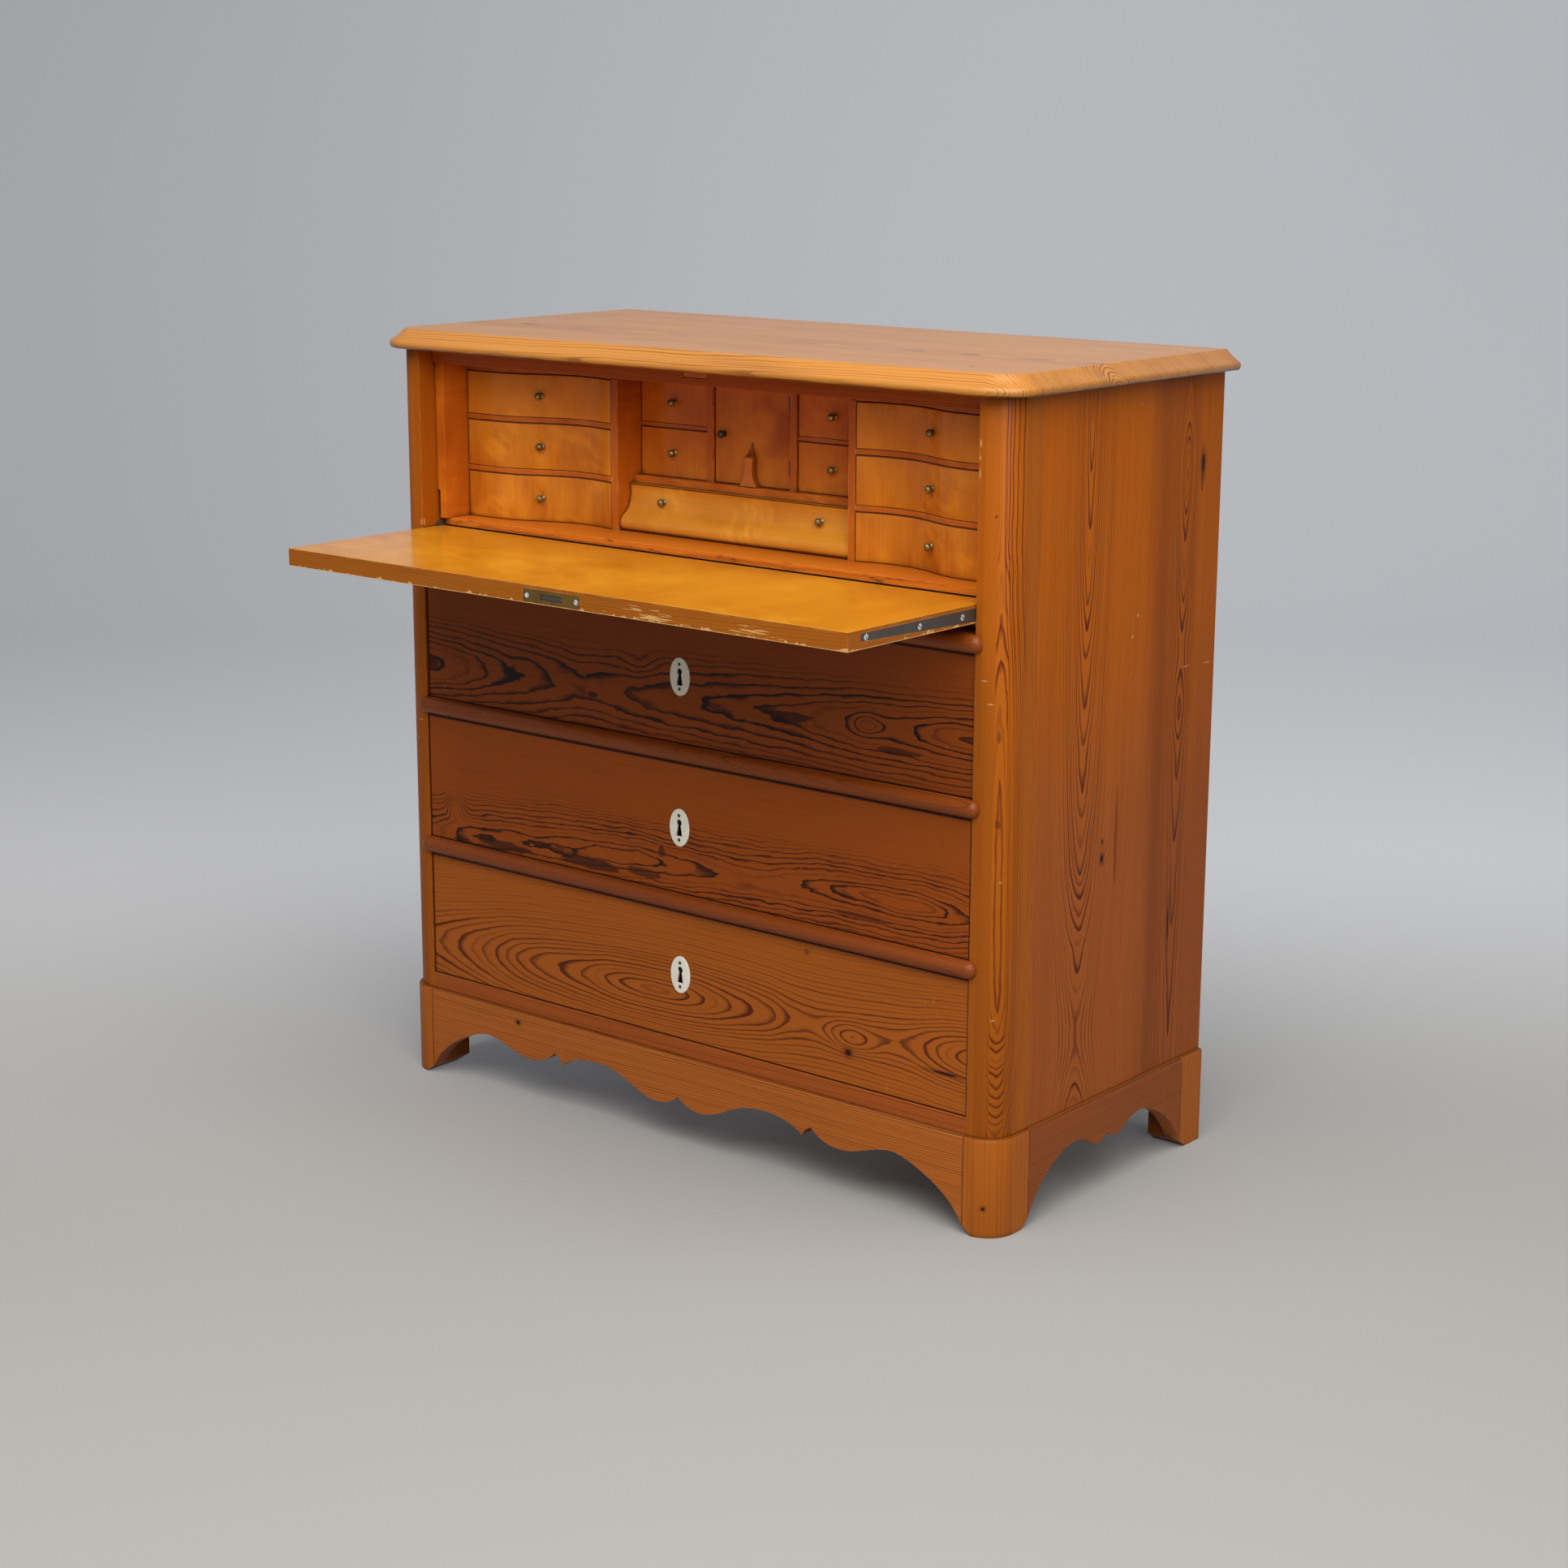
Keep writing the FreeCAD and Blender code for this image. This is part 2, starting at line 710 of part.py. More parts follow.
def strap_body(thickness, grow):
    """A strap let into the end of the flap: a tapering arm, and a heel with a round ear."""
    x = flap_half - strap_thickness - grow
    top = strap_top + grow
    root = top - strap_root_height - 2 * grow
    tip = top - strap_tip_height - 2 * grow
    heel_low = strap_top - strap_heel_height - grow
    front = strap_front - grow
    back = pivot_y + strap_heel_length + grow
    neck = pivot_y + strap_root_height / 2
    arm = prism([vec(x, front, top), vec(x, front, tip), vec(x, 0, root), vec(x, neck, root),
                 vec(x, neck + strap_root_height / 4, heel_low), vec(x, back, heel_low),
                 vec(x, back, top)], vec(thickness, 0, 0))
    ear_y = pivot_y + strap_ear_back
    ear_z = pivot_z + strap_ear_rise
    ear = rod(strap_ear_radius + grow, vec(x, ear_y, ear_z), vec(x + thickness, ear_y, ear_z))
    web = block(x, x + thickness, ear_y - strap_ear_radius - grow, ear_y + strap_ear_radius + grow,
                strap_top - strap_ear_radius, ear_z)
    return arm.fuse([ear, web])


def strap_screws(grow):
    """The screws of one strap, halfway up its arm, driven into the end of the flap."""
    screws = []
    for distance, angle in zip(strap_screw_places, strap_screw_angles):
        share = distance / (0 - strap_front)
        height = strap_tip_height + share * (strap_root_height - strap_tip_height)
        place = vec(flap_half, strap_front + distance, strap_top - height / 2)
        turn = math.radians(angle)
        across = vec(0, math.cos(turn), math.sin(turn))
        screws.append(slotted_screw(place, -RIGHT, across, strap_screw_head_radius, grow))
    return screws


def plate_screws(grow):
    """The two screws that hold the lock's plate in the free edge of the flap."""
    screws = []
    for side, angle in zip((-1, 1), flap_plate_screw_angles):
        place = vec(flap_lock_offset + side * flap_plate_screw_spacing / 2, flap_front,
                    flap_under + flap_plate_margin + flap_plate_height / 2)
        turn = math.radians(angle)
        across = vec(math.cos(turn), 0, math.sin(turn))
        screws.append(slotted_screw(place, BACK, across, plate_screw_head_radius, grow))
    return screws


def make_straps():
    """Two iron straps with an eye for the pivot pin, and their screws."""
    eye = rod(pivot_pin_radius + pivot_pin_fit,
              vec(flap_half - strap_thickness - cut_overrun, pivot_y, pivot_z),
              vec(flap_half + cut_overrun, pivot_y, pivot_z))
    strap = strap_body(strap_thickness, 0).cut(eye)
    for hole in strap_screws(screw_fit):
        strap = strap.cut(hole)
    solids = both(strap.removeSplitter())
    for screw in strap_screws(0):
        solids += both(screw)
    return solids


def pivot_plate_body():
    """The plate let into the inner face of a post, without its pins."""
    return block(opening_half, opening_half + pivot_plate_thickness,
                 pivot_plate_front, pivot_plate_front + pivot_plate_depth,
                 pivot_z - pivot_plate_below, pivot_z + pivot_plate_above)


def make_pivot_plates():
    """Pivot plates with the pin that the strap turns on and the stud that stops its heel."""
    end = flap_half - strap_thickness
    pin = rod(pivot_pin_radius, vec(end, pivot_y, pivot_z), vec(opening_half, pivot_y, pivot_z))
    stud_y = pivot_y + stud_back
    stud_z = pivot_z + stud_rise
    stud = rod(stop_stud_radius, vec(end, stud_y, stud_z), vec(opening_half, stud_y, stud_z))
    plate = pivot_plate_body().fuse([pin, stud])
    return both(plate)


def flap_plate_box(grow):
    """The brass plate in the flap's free edge."""
    low = flap_under + flap_plate_margin
    return block(flap_lock_offset - flap_plate_width / 2 - grow,
                 flap_lock_offset + flap_plate_width / 2 + grow,
                 flap_front - (cut_overrun if grow else 0), flap_front + flap_plate_thickness,
                 low - grow, low + flap_plate_height + grow)


def flap_case_box(grow):
    """The lock case behind the plate."""
    middle = flap_under + flap_plate_margin + flap_plate_height / 2
    return block(flap_lock_offset - flap_lock_width / 2 - grow,
                 flap_lock_offset + flap_lock_width / 2 + grow,
                 flap_front + flap_plate_thickness, flap_front + flap_lock_depth + grow,
                 middle - flap_lock_height / 2 - grow, middle + flap_lock_height / 2 + grow)


def flat_keyhole_plate(shape):
    """Turn a piece made for an upright front so that it lies on the flap's outer face."""
    shape = shape.copy()
    shape.rotate(vec(0, pivot_y, pivot_z), RIGHT, 90)
    return shape


def make_flap():
    """The fall flap, open: a pine board, a veneer leaf, straps, lock, bolt and keyhole plate."""
    core_top = flap_over - flap_veneer_thickness
    heel = flap_heel_round
    corner = heel * (1 - math.sqrt(1 / 2))
    section = [
        line(vec(-flap_half, flap_front, flap_under), vec(-flap_half, flap_rear - heel, flap_under)),
        Part.Arc(vec(-flap_half, flap_rear - heel, flap_under),
                 vec(-flap_half, flap_rear - corner, flap_under + corner),
                 vec(-flap_half, flap_rear, flap_under + heel)).toShape(),
        line(vec(-flap_half, flap_rear, flap_under + heel), vec(-flap_half, flap_rear, core_top)),
        line(vec(-flap_half, flap_rear, core_top), vec(-flap_half, flap_front, core_top)),
        line(vec(-flap_half, flap_front, core_top), vec(-flap_half, flap_front, flap_under)),
    ]
    board = solid_of(section, vec(2 * flap_half, 0, 0))
    seat = strap_body(strap_thickness + cut_overrun, plate_fit)
    board = board.cut(seat).cut(mirrored(seat))
    for hole in strap_screws(screw_fit):
        board = board.cut(hole).cut(mirrored(hole))
    for hole in plate_screws(screw_fit):
        board = board.cut(hole)
    board = board.cut(flap_plate_box(flap_plate_fit)).cut(flap_case_box(flap_plate_fit))
    key_z = flap_closed_top - flap_key_distance
    for cutter in plate_seat(0, key_z, 0):
        board = board.cut(flat_keyhole_plate(cutter))
    key_cut = flat_keyhole_plate(keyhole(0, key_z, -cut_overrun, flap_thickness / 2))
    board = board.cut(key_cut)
    save("flap_board", [board])
    veneer = block(-flap_half, flap_half, flap_front, flap_rear, core_top, flap_over)
    save("flap_veneer", [veneer.cut(seat).cut(mirrored(seat))])
    save("flap_straps", make_straps())

    middle = flap_under + flap_plate_margin + flap_plate_height / 2
    bolt_half = flap_bolt_width / 2
    bolt_front = flap_front + flap_bolt_inset
    bolt_back = bolt_front + flap_bolt_length
    channel = block(flap_lock_offset - bolt_half - bolt_play, flap_lock_offset + bolt_half + bolt_play,
                    flap_front - cut_overrun, bolt_back + bolt_play,
                    middle - flap_bolt_height / 2 - bolt_play, middle + flap_bolt_height / 2 + bolt_play)
    lock = flap_plate_box(0).fuse(flap_case_box(0)).removeSplitter().cut(channel).cut(key_cut)
    for hole in plate_screws(screw_fit):
        lock = lock.cut(hole)
    pins = [flat_keyhole_plate(pin) for pin in plate_pins(0, key_z, 0, 0)]
    save("flap_lock", [lock] + plate_screws(0) + pins)
    save("flap_bolt", [block(flap_lock_offset - bolt_half, flap_lock_offset + bolt_half,
                             bolt_front, bolt_back,
                             middle - flap_bolt_height / 2, middle + flap_bolt_height / 2)])
    save("flap_keyhole_plate", [flat_keyhole_plate(keyhole_plate(0, key_z, 0))])


def make_top_rail():
    """The rail behind the head of the closed flap, and the hardwood strike block let into it."""
    rail = block(-opening_half, opening_half, top_rail_front, top_rail_front + top_rail_thickness,
                 top_rail_under, carcass_top)
    high = carcass_top - strike_drop
    left = flap_lock_offset - strike_width / 2
    right = flap_lock_offset + strike_width / 2
    strike = block(left, right, top_rail_front, top_rail_front + strike_thickness,
                   high - strike_height, high)
    seat = block(left - strike_fit, right + strike_fit, top_rail_front - cut_overrun,
                 top_rail_front + strike_thickness, high - strike_height - strike_fit,
                 high + strike_fit)
    return [rail.cut(seat), strike]


def make_floor():
    """The floor of the writing interior, cut back beside the posts for the straps' heels."""
    front = block(-lining_outer, lining_outer, floor_front, post_depth, floor_under, floor_top)
    rear = block(-side_inner, side_inner, post_depth, back_front, floor_under, floor_top)
    return [front.fuse(rear).removeSplitter()]


def make_linings():
    """Inner side boards that close against the posts, hollowed at the foot for the straps."""
    lining = block(lining_inner, opening_half, lining_front, back_front, floor_top, top_rail_under)
    slot = block(lining_outer, opening_half + cut_overrun, lining_front - cut_overrun,
                 pivot_y + heel_sweep, floor_top - cut_overrun, floor_top + lining_slot_height)
    return both(lining.cut(slot))


def bank_edge(z, trim):
    """The serpentine line of the right bank in plan, from its outer to its inner end."""
    outer = lining_inner - trim
    width = lining_inner - divider_outer - 2 * trim
    points = [vec(outer - along * width, bank_front + wave * bank_wave, z)
              for along, wave in zip(bank_width_shares, bank_wave_shares)]
    return smooth(points), points[0], points[-1]


def bank_board(z0, z1):
    """A full-depth board with a serpentine front edge."""
    edge, outer, inner = bank_edge(z0, 0)
    rear_outer = vec(outer.x, back_front, z0)
    rear_inner = vec(inner.x, back_front, z0)
    loop = [edge, line(inner, rear_inner), line(rear_inner, rear_outer), line(rear_outer, outer)]
    return solid_of(loop, vec(0, 0, z1 - z0))


def make_partitions():
    """Dividers, boards, shelf, door posts and ceiling of the writing interior."""
    solids = both(block(divider_inner, divider_outer, divider_front, back_front,
                        floor_top, ceiling_under))
    for height in bank_board_heights:
        z0 = floor_top + height
        solids += both(bank_board(z0, z0 + bank_board_thickness))
    solids += both(bank_board(ceiling_under, ceiling_under + ceiling_thickness))
    solids.append(block(-divider_outer, divider_outer, shelf_front, back_front,
                        ceiling_under, ceiling_under + ceiling_thickness))
    solids.append(block(-divider_inner, divider_inner, shelf_front, back_front, shelf_under, shelf_top))
    post = block(door_post_inner, door_post_outer, door_post_front, back_front, shelf_top, ceiling_under)
    for z in hinge_places():
        post = post.cut(hinge_seat(z))
    solids += both(post)
    board = block(door_post_outer, divider_inner, centre_front, back_front,
                  centre_board_under, centre_board_top)
    return solids + both(board)


def small_box(x0, x1, front_back, z0, z1):
    """Sides, back and bottom of a small drawer behind its front."""
    side = small_side_thickness
    side_top = z1 - small_side_drop
    panel_low = z0 + small_bottom_lift
    panel_top = panel_low + small_bottom_thickness
    return [
        block(x0, x0 + side, front_back, small_back, z0, side_top),
        block(x1 - side, x1, front_back, small_back, z0, side_top),
        block(x0 + side, x1 - side, small_back - side, small_back, panel_top, side_top),
        block(x0 + side, x1 - side, front_back, small_back, panel_low, panel_top),
    ]


def knob_hole(x, face, z):
    """The hole that a knob's tail fits."""
    return rod(knob_tail_radius + knob_tail_fit, vec(x, face - cut_overrun, z),
               vec(x, face + knob_tail_length + knob_tail_fit, z))


def knob(x, face, z):
    """A turned brass knob: a round foot, a stem and a ball, with a tail into the wood."""
    ball_centre = vec(x, face - knob_length + knob_ball_radius, z)
    foot = rod(knob_base_radius, vec(x, face, z), vec(x, face - knob_base_thickness, z))
    stem = rod(knob_stem_radius, vec(x, face, z), ball_centre)
    tail = rod(knob_tail_radius, vec(x, face, z), vec(x, face + knob_tail_length, z))
    ball = Part.makeSphere(knob_ball_radius, ball_centre, -BACK)
    return foot.fuse([stem, tail, ball]).removeSplitter()


def bank_front_at(x):
    """How far back the serpentine face of a bank drawer stands at a place along X."""
    edge = bank_edge(0, small_gap)[0]
    probe = line(vec(x, 0, 0), vec(x, back_front, 0))
    return edge.distToShape(probe)[1][0][0].y


def bank_levels():
    """Lower and upper limits of the three drawer spaces of a bank."""
    boards = [floor_top + h for h in bank_board_heights]
    lows = [floor_top] + [b + bank_board_thickness for b in boards]
    return list(zip(lows, boards + [ceiling_under]))


def make_bank_drawers():
    """Three serpentine drawers at each side, with a knob in the middle of each."""
    middle = (lining_inner + divider_outer) / 2
    face = bank_front_at(middle)
    flat_back = bank_front + bank_wave + bank_front_thickness
    for name, (low, high) in zip(bank_names, bank_levels()):
        z0 = low + running_gap
        z1 = high - small_head_gap
        edge, outer, inner = bank_edge(z0, small_gap)
        rear_outer = vec(outer.x, flat_back, z0)
        rear_inner = vec(inner.x, flat_back, z0)
        loop = [edge, line(inner, rear_inner), line(rear_inner, rear_outer), line(rear_outer, outer)]
        front = solid_of(loop, vec(0, 0, z1 - z0))
        knob_z = (z0 + z1) / 2
        turned_knob = knob(middle, face, knob_z)
        front = front.cut(knob_hole(middle, face, knob_z)).cut(turned_knob)
        solids = [front] + small_box(inner.x, outer.x, flat_back, z0, z1)
        save("drawer_right_" + name, solids)
        save("knob_right_" + name, [turned_knob])
        save("drawer_left_" + name, [mirrored(s) for s in solids])
        save("knob_left_" + name, [mirrored(turned_knob)])


def make_centre_drawers():
    """Two plain drawers at each side of the little door."""
    levels = [(shelf_top, centre_board_under), (centre_board_top, ceiling_under)]
    x0 = door_post_outer + small_gap
    x1 = divider_inner - small_gap
    middle = (x0 + x1) / 2
    for name, (low, high) in zip(centre_names, levels):
        z0 = low + running_gap
        z1 = high - small_head_gap
        front_back = centre_front + small_front_thickness
        knob_z = (z0 + z1) / 2
        front = block(x0, x1, centre_front, front_back, z0, z1)
        front = front.cut(knob_hole(middle, centre_front, knob_z))
        solids = [front] + small_box(x0, x1, front_back, z0, z1)
        turned_knob = knob(middle, centre_front, knob_z)
        save("drawer_centre_right_" + name, solids)
        save("knob_centre_right_" + name, [turned_knob])
        save("drawer_centre_left_" + name, [mirrored(s) for s in solids])
        save("knob_centre_left_" + name, [mirrored(turned_knob)])


def ogee_points(x, z0, z1):
    """The profile of the wide drawer's front: hollow above, round belly below."""
    points = []
    for height, swell in zip(ogee_height_shares, ogee_swell_shares):
        depth = ogee_waist - swell * (ogee_waist - ogee_belly)
        points.append(vec(x, depth, z0 + height * (z1 - z0)))
    return points


def make_ogee_drawer():
    """The wide drawer under the shelf, with a moulded front and two knobs."""
    half = divider_inner - small_gap
    z0 = floor_top + running_gap
    z1 = shelf_under - small_head_gap
    points = ogee_points(-half, z0, z1)
    front_back = ogee_back + small_front_thickness
    top_back = vec(-half, front_back, points[0].z)
    low_back = vec(-half, front_back, points[-1].z)
    loop = [smooth(points), line(points[-1], low_back), line(low_back, top_back),
            line(top_back, points[0])]
    front = solid_of(loop, vec(2 * half, 0, 0))
    knob_z = z0 + ogee_knob_height_share * (z1 - z0)
    edge = smooth(points)
    probe = line(vec(-half, 0, knob_z), vec(-half, back_front, knob_z))
    face = edge.distToShape(probe)[1][0][0].y + knob_base_thickness / 2
    turned_knob = knob(ogee_knob_place, face, knob_z)
    for cutter in both(knob_hole(ogee_knob_place, face, knob_z)) + both(turned_knob):
        front = front.cut(cutter)
    save("drawer_centre_wide", [front] + small_box(-half, half, front_back, z0, z1))
    save("knobs_centre_wide", both(turned_knob))


def hinge_places():
    return [shelf_top + rise for rise in hinge_rises]


def hinge_axis():
    """Plan position of the hinge pins of the little door."""
    return door_post_inner - door_gap / 2, centre_front - hinge_pin_ahead


def hinge_seat(z):
    """What a fixed hinge leaf takes out of the door post."""
    x, y = hinge_axis()
    half = hinge_height / 2
    leaf = block(door_post_inner, door_post_inner + hinge_leaf_thickness,
                 door_post_front - cut_overrun, centre_front + hinge_leaf_width, z - half, z + half)
    knuckle = rod(hinge_knuckle_radius + hinge_knuckle_gap,
                  vec(x, y, z - half), vec(x, y, z + half))
    return leaf.fuse(knuckle)


def make_fixed_hinges():
    """Fixed leaves of the little hinges, each with the middle knuckle's neighbours and the pin."""
    x, y = hinge_axis()
    solids = []
    for z in hinge_places():
        half = hinge_height / 2
        third = hinge_height / 3
        leaf = block(door_post_inner, door_post_inner + hinge_leaf_thickness,
                     y, centre_front + hinge_leaf_width, z - half, z + half)
        window = block(x - half, door_post_inner + hinge_knuckle_radius, y - half,
                       y + hinge_knuckle_radius + hinge_knuckle_gap, z - third / 2, z + third / 2)
        inner_end = (third + hinge_knuckle_gap) / 2
        low = rod(hinge_knuckle_radius, vec(x, y, z - half), vec(x, y, z - inner_end))
        high = rod(hinge_knuckle_radius, vec(x, y, z + inner_end), vec(x, y, z + half))
        pin = rod(hinge_pin_radius, vec(x, y, z - half), vec(x, y, z + half))
        solids.append(leaf.cut(window).fuse([low, high, pin]).removeSplitter())
    return solids


def make_door():
    """The little door with its applied ornament, knob and hinge leaves."""
    x1 = door_post_inner - door_gap
    z0 = shelf_top + door_gap
    z1 = ceiling_under - door_gap
    door = block(-x1, x1, centre_front, centre_front + door_thickness, z0, z1)
    axis_x, axis_y = hinge_axis()
    third = hinge_height / 3
    leaves = []
    for z in hinge_places():
        half = hinge_height / 2
        leaf = block(x1 - hinge_leaf_thickness, x1, axis_y, centre_front + hinge_leaf_width,
                     z - half, z + half)
        seat = block(x1 - hinge_leaf_thickness, x1 + cut_overrun, centre_front - cut_overrun,
                     centre_front + hinge_leaf_width, z - half, z + half)
        round_seat = rod(hinge_knuckle_radius + hinge_knuckle_gap,
                         vec(axis_x, axis_y, z - half), vec(axis_x, axis_y, z + half))
        door = door.cut(seat).cut(round_seat)
        middle = rod(hinge_knuckle_radius, vec(axis_x, axis_y, z - third / 2 + hinge_knuckle_gap / 2),
                     vec(axis_x, axis_y, z + third / 2 - hinge_knuckle_gap / 2))
        ends = []
        for low, high in ((z - half, z - third / 2), (z + third / 2, z + half)):
            ends.append(rod(hinge_knuckle_radius + hinge_knuckle_gap,
                            vec(axis_x, axis_y, low), vec(axis_x, axis_y, high)))
        bore = rod(hinge_pin_radius + hinge_fit, vec(axis_x, axis_y, z - half),
                   vec(axis_x, axis_y, z + half))
        piece = leaf.fuse(middle).removeSplitter()
        for cutter in ends + [bore]:
            piece = piece.cut(cutter)
        leaves.append(piece)
    knob_z = shelf_top + door_knob_rise
    door = door.cut(knob_hole(-door_knob_place, centre_front, knob_z))
    save("door_panel", [door])
    save("door_fittings", [knob(-door_knob_place, centre_front, knob_z)] + leaves)
    save("door_ornament", [make_ornament(z0)])


def make_ornament(foot):
    """A carved pillar on the door, which spreads in a curve at its foot, under a hollow spire."""
    front = centre_front - ornament_depth
    waist = foot + ornament_waist_share * ornament_height
    shoulder = foot + ornament_shoulder_share * ornament_height
    bend = foot + ornament_waist_share * ornament_height / 3
    bend_half = (ornament_foot_half + 2 * ornament_waist_half) / 3
    right = [vec(ornament_foot_half, front, foot), vec(bend_half, front, bend),
             vec(ornament_waist_half, front, waist)]
    left = [vec(-p.x, p.y, p.z) for p in right]
    top_right = vec(ornament_shoulder_half, front, shoulder)
    top_left = vec(-ornament_shoulder_half, front, shoulder)
    loop = [Part.Arc(*right).toShape(), line(right[2], top_right), line(top_right, top_left),
            line(top_left, left[2]), Part.Arc(left[2], left[1], left[0]).toShape(),
            line(left[0], right[0])]
    pillar = solid_of(loop, vec(0, ornament_depth, 0))
    middle = centre_front - ornament_depth / 2
    squares = []
    for up, size in ornament_spire_shares:
        z = foot + up * ornament_height
        x = size * ornament_shoulder_half
        y = size * ornament_depth / 2
        corners = [vec(-x, middle - y, z), vec(x, middle - y, z), vec(x, middle + y, z),
                   vec(-x, middle + y, z)]
        squares.append(Part.makePolygon(corners + [corners[0]]))
    spire = Part.makeLoft(squares, True, True)
    return pillar.fuse(spire).removeSplitter()


def build():
    save("top_board", [make_top()])
    save("corner_posts", make_posts())
    save("side_boards", make_sides())
    save("back_boards", make_back())
    save("plinth_aprons", make_aprons())
    save("plinth_corner_blocks", make_plinth_blocks())
    save("drawer_rails", make_rails())
    save("rail_nosings", make_nosings())
    save("drawer_runners", make_runners())
    save("top_rail", make_top_rail())
    save("interior_floor", make_floor())
    save("interior_linings", make_linings())
    save("interior_partitions", make_partitions())
    save("fixed_hinge_irons", make_pivot_plates() + make_fixed_hinges())
    for index in range(len(long_drawer_names)):
        make_long_drawer(index)
    make_flap()
    make_bank_drawers()
    make_centre_drawers()
    make_ogee_drawer()
    make_door()


build()
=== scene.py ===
import json
import math

import bmesh
import bpy
import numpy as np
from mathutils import Matrix, Vector

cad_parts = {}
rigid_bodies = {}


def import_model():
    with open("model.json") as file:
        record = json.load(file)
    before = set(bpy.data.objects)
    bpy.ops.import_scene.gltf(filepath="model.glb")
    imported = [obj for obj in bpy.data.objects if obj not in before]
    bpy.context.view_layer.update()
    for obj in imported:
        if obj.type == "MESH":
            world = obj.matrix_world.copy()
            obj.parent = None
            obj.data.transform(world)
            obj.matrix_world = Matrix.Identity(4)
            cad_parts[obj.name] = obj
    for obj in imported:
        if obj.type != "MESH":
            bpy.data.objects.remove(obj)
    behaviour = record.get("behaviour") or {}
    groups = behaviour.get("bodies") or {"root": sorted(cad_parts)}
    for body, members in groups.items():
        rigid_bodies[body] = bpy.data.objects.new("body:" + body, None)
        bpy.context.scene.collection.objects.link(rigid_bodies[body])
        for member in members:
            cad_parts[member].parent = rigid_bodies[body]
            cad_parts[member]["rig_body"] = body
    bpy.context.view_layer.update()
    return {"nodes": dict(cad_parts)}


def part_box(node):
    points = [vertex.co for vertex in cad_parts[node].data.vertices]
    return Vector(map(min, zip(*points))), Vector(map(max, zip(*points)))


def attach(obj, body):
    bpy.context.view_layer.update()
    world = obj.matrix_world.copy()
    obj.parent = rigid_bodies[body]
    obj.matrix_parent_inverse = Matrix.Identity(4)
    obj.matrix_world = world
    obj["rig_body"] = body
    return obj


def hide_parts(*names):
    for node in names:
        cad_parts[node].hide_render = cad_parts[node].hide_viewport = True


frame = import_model()
nodes = frame["nodes"]

# A writing chiffonier in lacquered pine and birch. Lengths are in metres, X to the right, Y to the
# back, Z up, and every piece has its place in its mesh.

# The view: it looks down on the right front corner
view_turn = math.radians(39.36)
view_rise = math.radians(13.53)
view_roll = math.radians(0.22)
view_target = Vector((0.1361, -0.0712, 0.4822))
view_distance = 3.4282
lens_mm = 65.76
sensor_mm = 36.0


def make_camera():
    """A camera on a sphere about the target, turned a little about its own line of sight."""
    back = Vector((math.sin(view_turn) * math.cos(view_rise),
                   -math.cos(view_turn) * math.cos(view_rise), math.sin(view_rise)))
    right = Vector((math.cos(view_turn), math.sin(view_turn), 0))
    up = back.cross(right)
    rolled_right = right * math.cos(view_roll) + up * math.sin(view_roll)
    rolled_up = up * math.cos(view_roll) - right * math.sin(view_roll)
    data = bpy.data.cameras.new("camera")
    data.lens = lens_mm
    data.sensor_width = sensor_mm
    camera = bpy.data.objects.new("camera", data)
    turn = Matrix((rolled_right, rolled_up, back)).transposed().to_4x4()
    camera.matrix_world = Matrix.Translation(view_target + back * view_distance) @ turn
    bpy.context.scene.collection.objects.link(camera)
    bpy.context.scene.camera = camera


class Wire:
    """A number, colour or vector on its way through a material's nodes.

    Operators on numbers add Math nodes. node() adds any other node."""

    def __init__(self, tree, socket):
        self.tree = tree
        self.socket = socket

    def node(self, kind, settings, sockets, out=0):
        """A node of that kind, with its settings and then its sockets set or linked."""
        made = self.tree.nodes.new(kind)
        for name, value in settings.items():
            if name == "stops":
                set_stops(made.color_ramp, value)
            else:
                setattr(made, name, value)
        for key, value in sockets.items():
            if isinstance(value, Wire):
                self.tree.links.new(value.socket, made.inputs[key])
            else:
                made.inputs[key].default_value = value
        return Wire(self.tree, made.outputs[out])

    def beside(self, out):
        """Another output of the node that this one comes from."""
        return Wire(self.tree, self.socket.node.outputs[out])

    def math(self, operation, *others):
        """This value, and the others after it, through a Math node."""
        sockets = {i: value for i, value in enumerate((self,) + others)}
        return self.node("ShaderNodeMath", {"operation": operation}, sockets)

    def __add__(self, other):
        return self.math("ADD", other)

    def __radd__(self, other):
        return self.math("ADD", other)

    def __sub__(self, other):
        return self.math("SUBTRACT", other)

    def __rsub__(self, other):
        return self.node("ShaderNodeMath", {"operation": "SUBTRACT"}, {0: other, 1: self})

    def __mul__(self, other):
        return self.math("MULTIPLY", other)

    def __truediv__(self, other):
        return self.math("DIVIDE", other)

    def __pow__(self, other):
        return self.math("POWER", other)

    def __abs__(self):
        return self.math("ABSOLUTE")

    def larger(self, other):
        """The larger of the two."""
        return self.math("MAXIMUM", other)

    def held(self):
        """Held between 0 and 1."""
        return self.larger(0.0).math("MINIMUM", 1.0)

    def step(self, low, high, kept=1.0):
        """A smooth step from 0 at low to kept at high."""
        return self.node("ShaderNodeMapRange", {"interpolation_type": "SMOOTHSTEP"},
                         {0: self, 1: low, 2: high, 3: 0.0, 4: kept})

    def mix(self, first, second):
        """Colours mixed by this number, from the first at 0 to the second at 1."""
        return self.node("ShaderNodeMix", {"data_type": "RGBA"}, {0: self, 6: first, 7: second}, 2)

    def noise(self, scale, detail=2.0, rough=0.5):
        """Noise about 0.5 over this vector."""
        return self.node("ShaderNodeTexNoise", {}, {"Vector": self, "Scale": scale,
                                                    "Detail": detail, "Roughness": rough})


def set_stops(ramp, stops):
    """Set a colour ramp's stops from pairs of place and colour, with a smooth curve through them."""
    ramp.interpolation = "CARDINAL"
    while len(ramp.elements) < len(stops):
        ramp.elements.new(1.0)
    for element, (place, colour) in zip(ramp.elements, stops):
        element.position = place
        element.color = colour


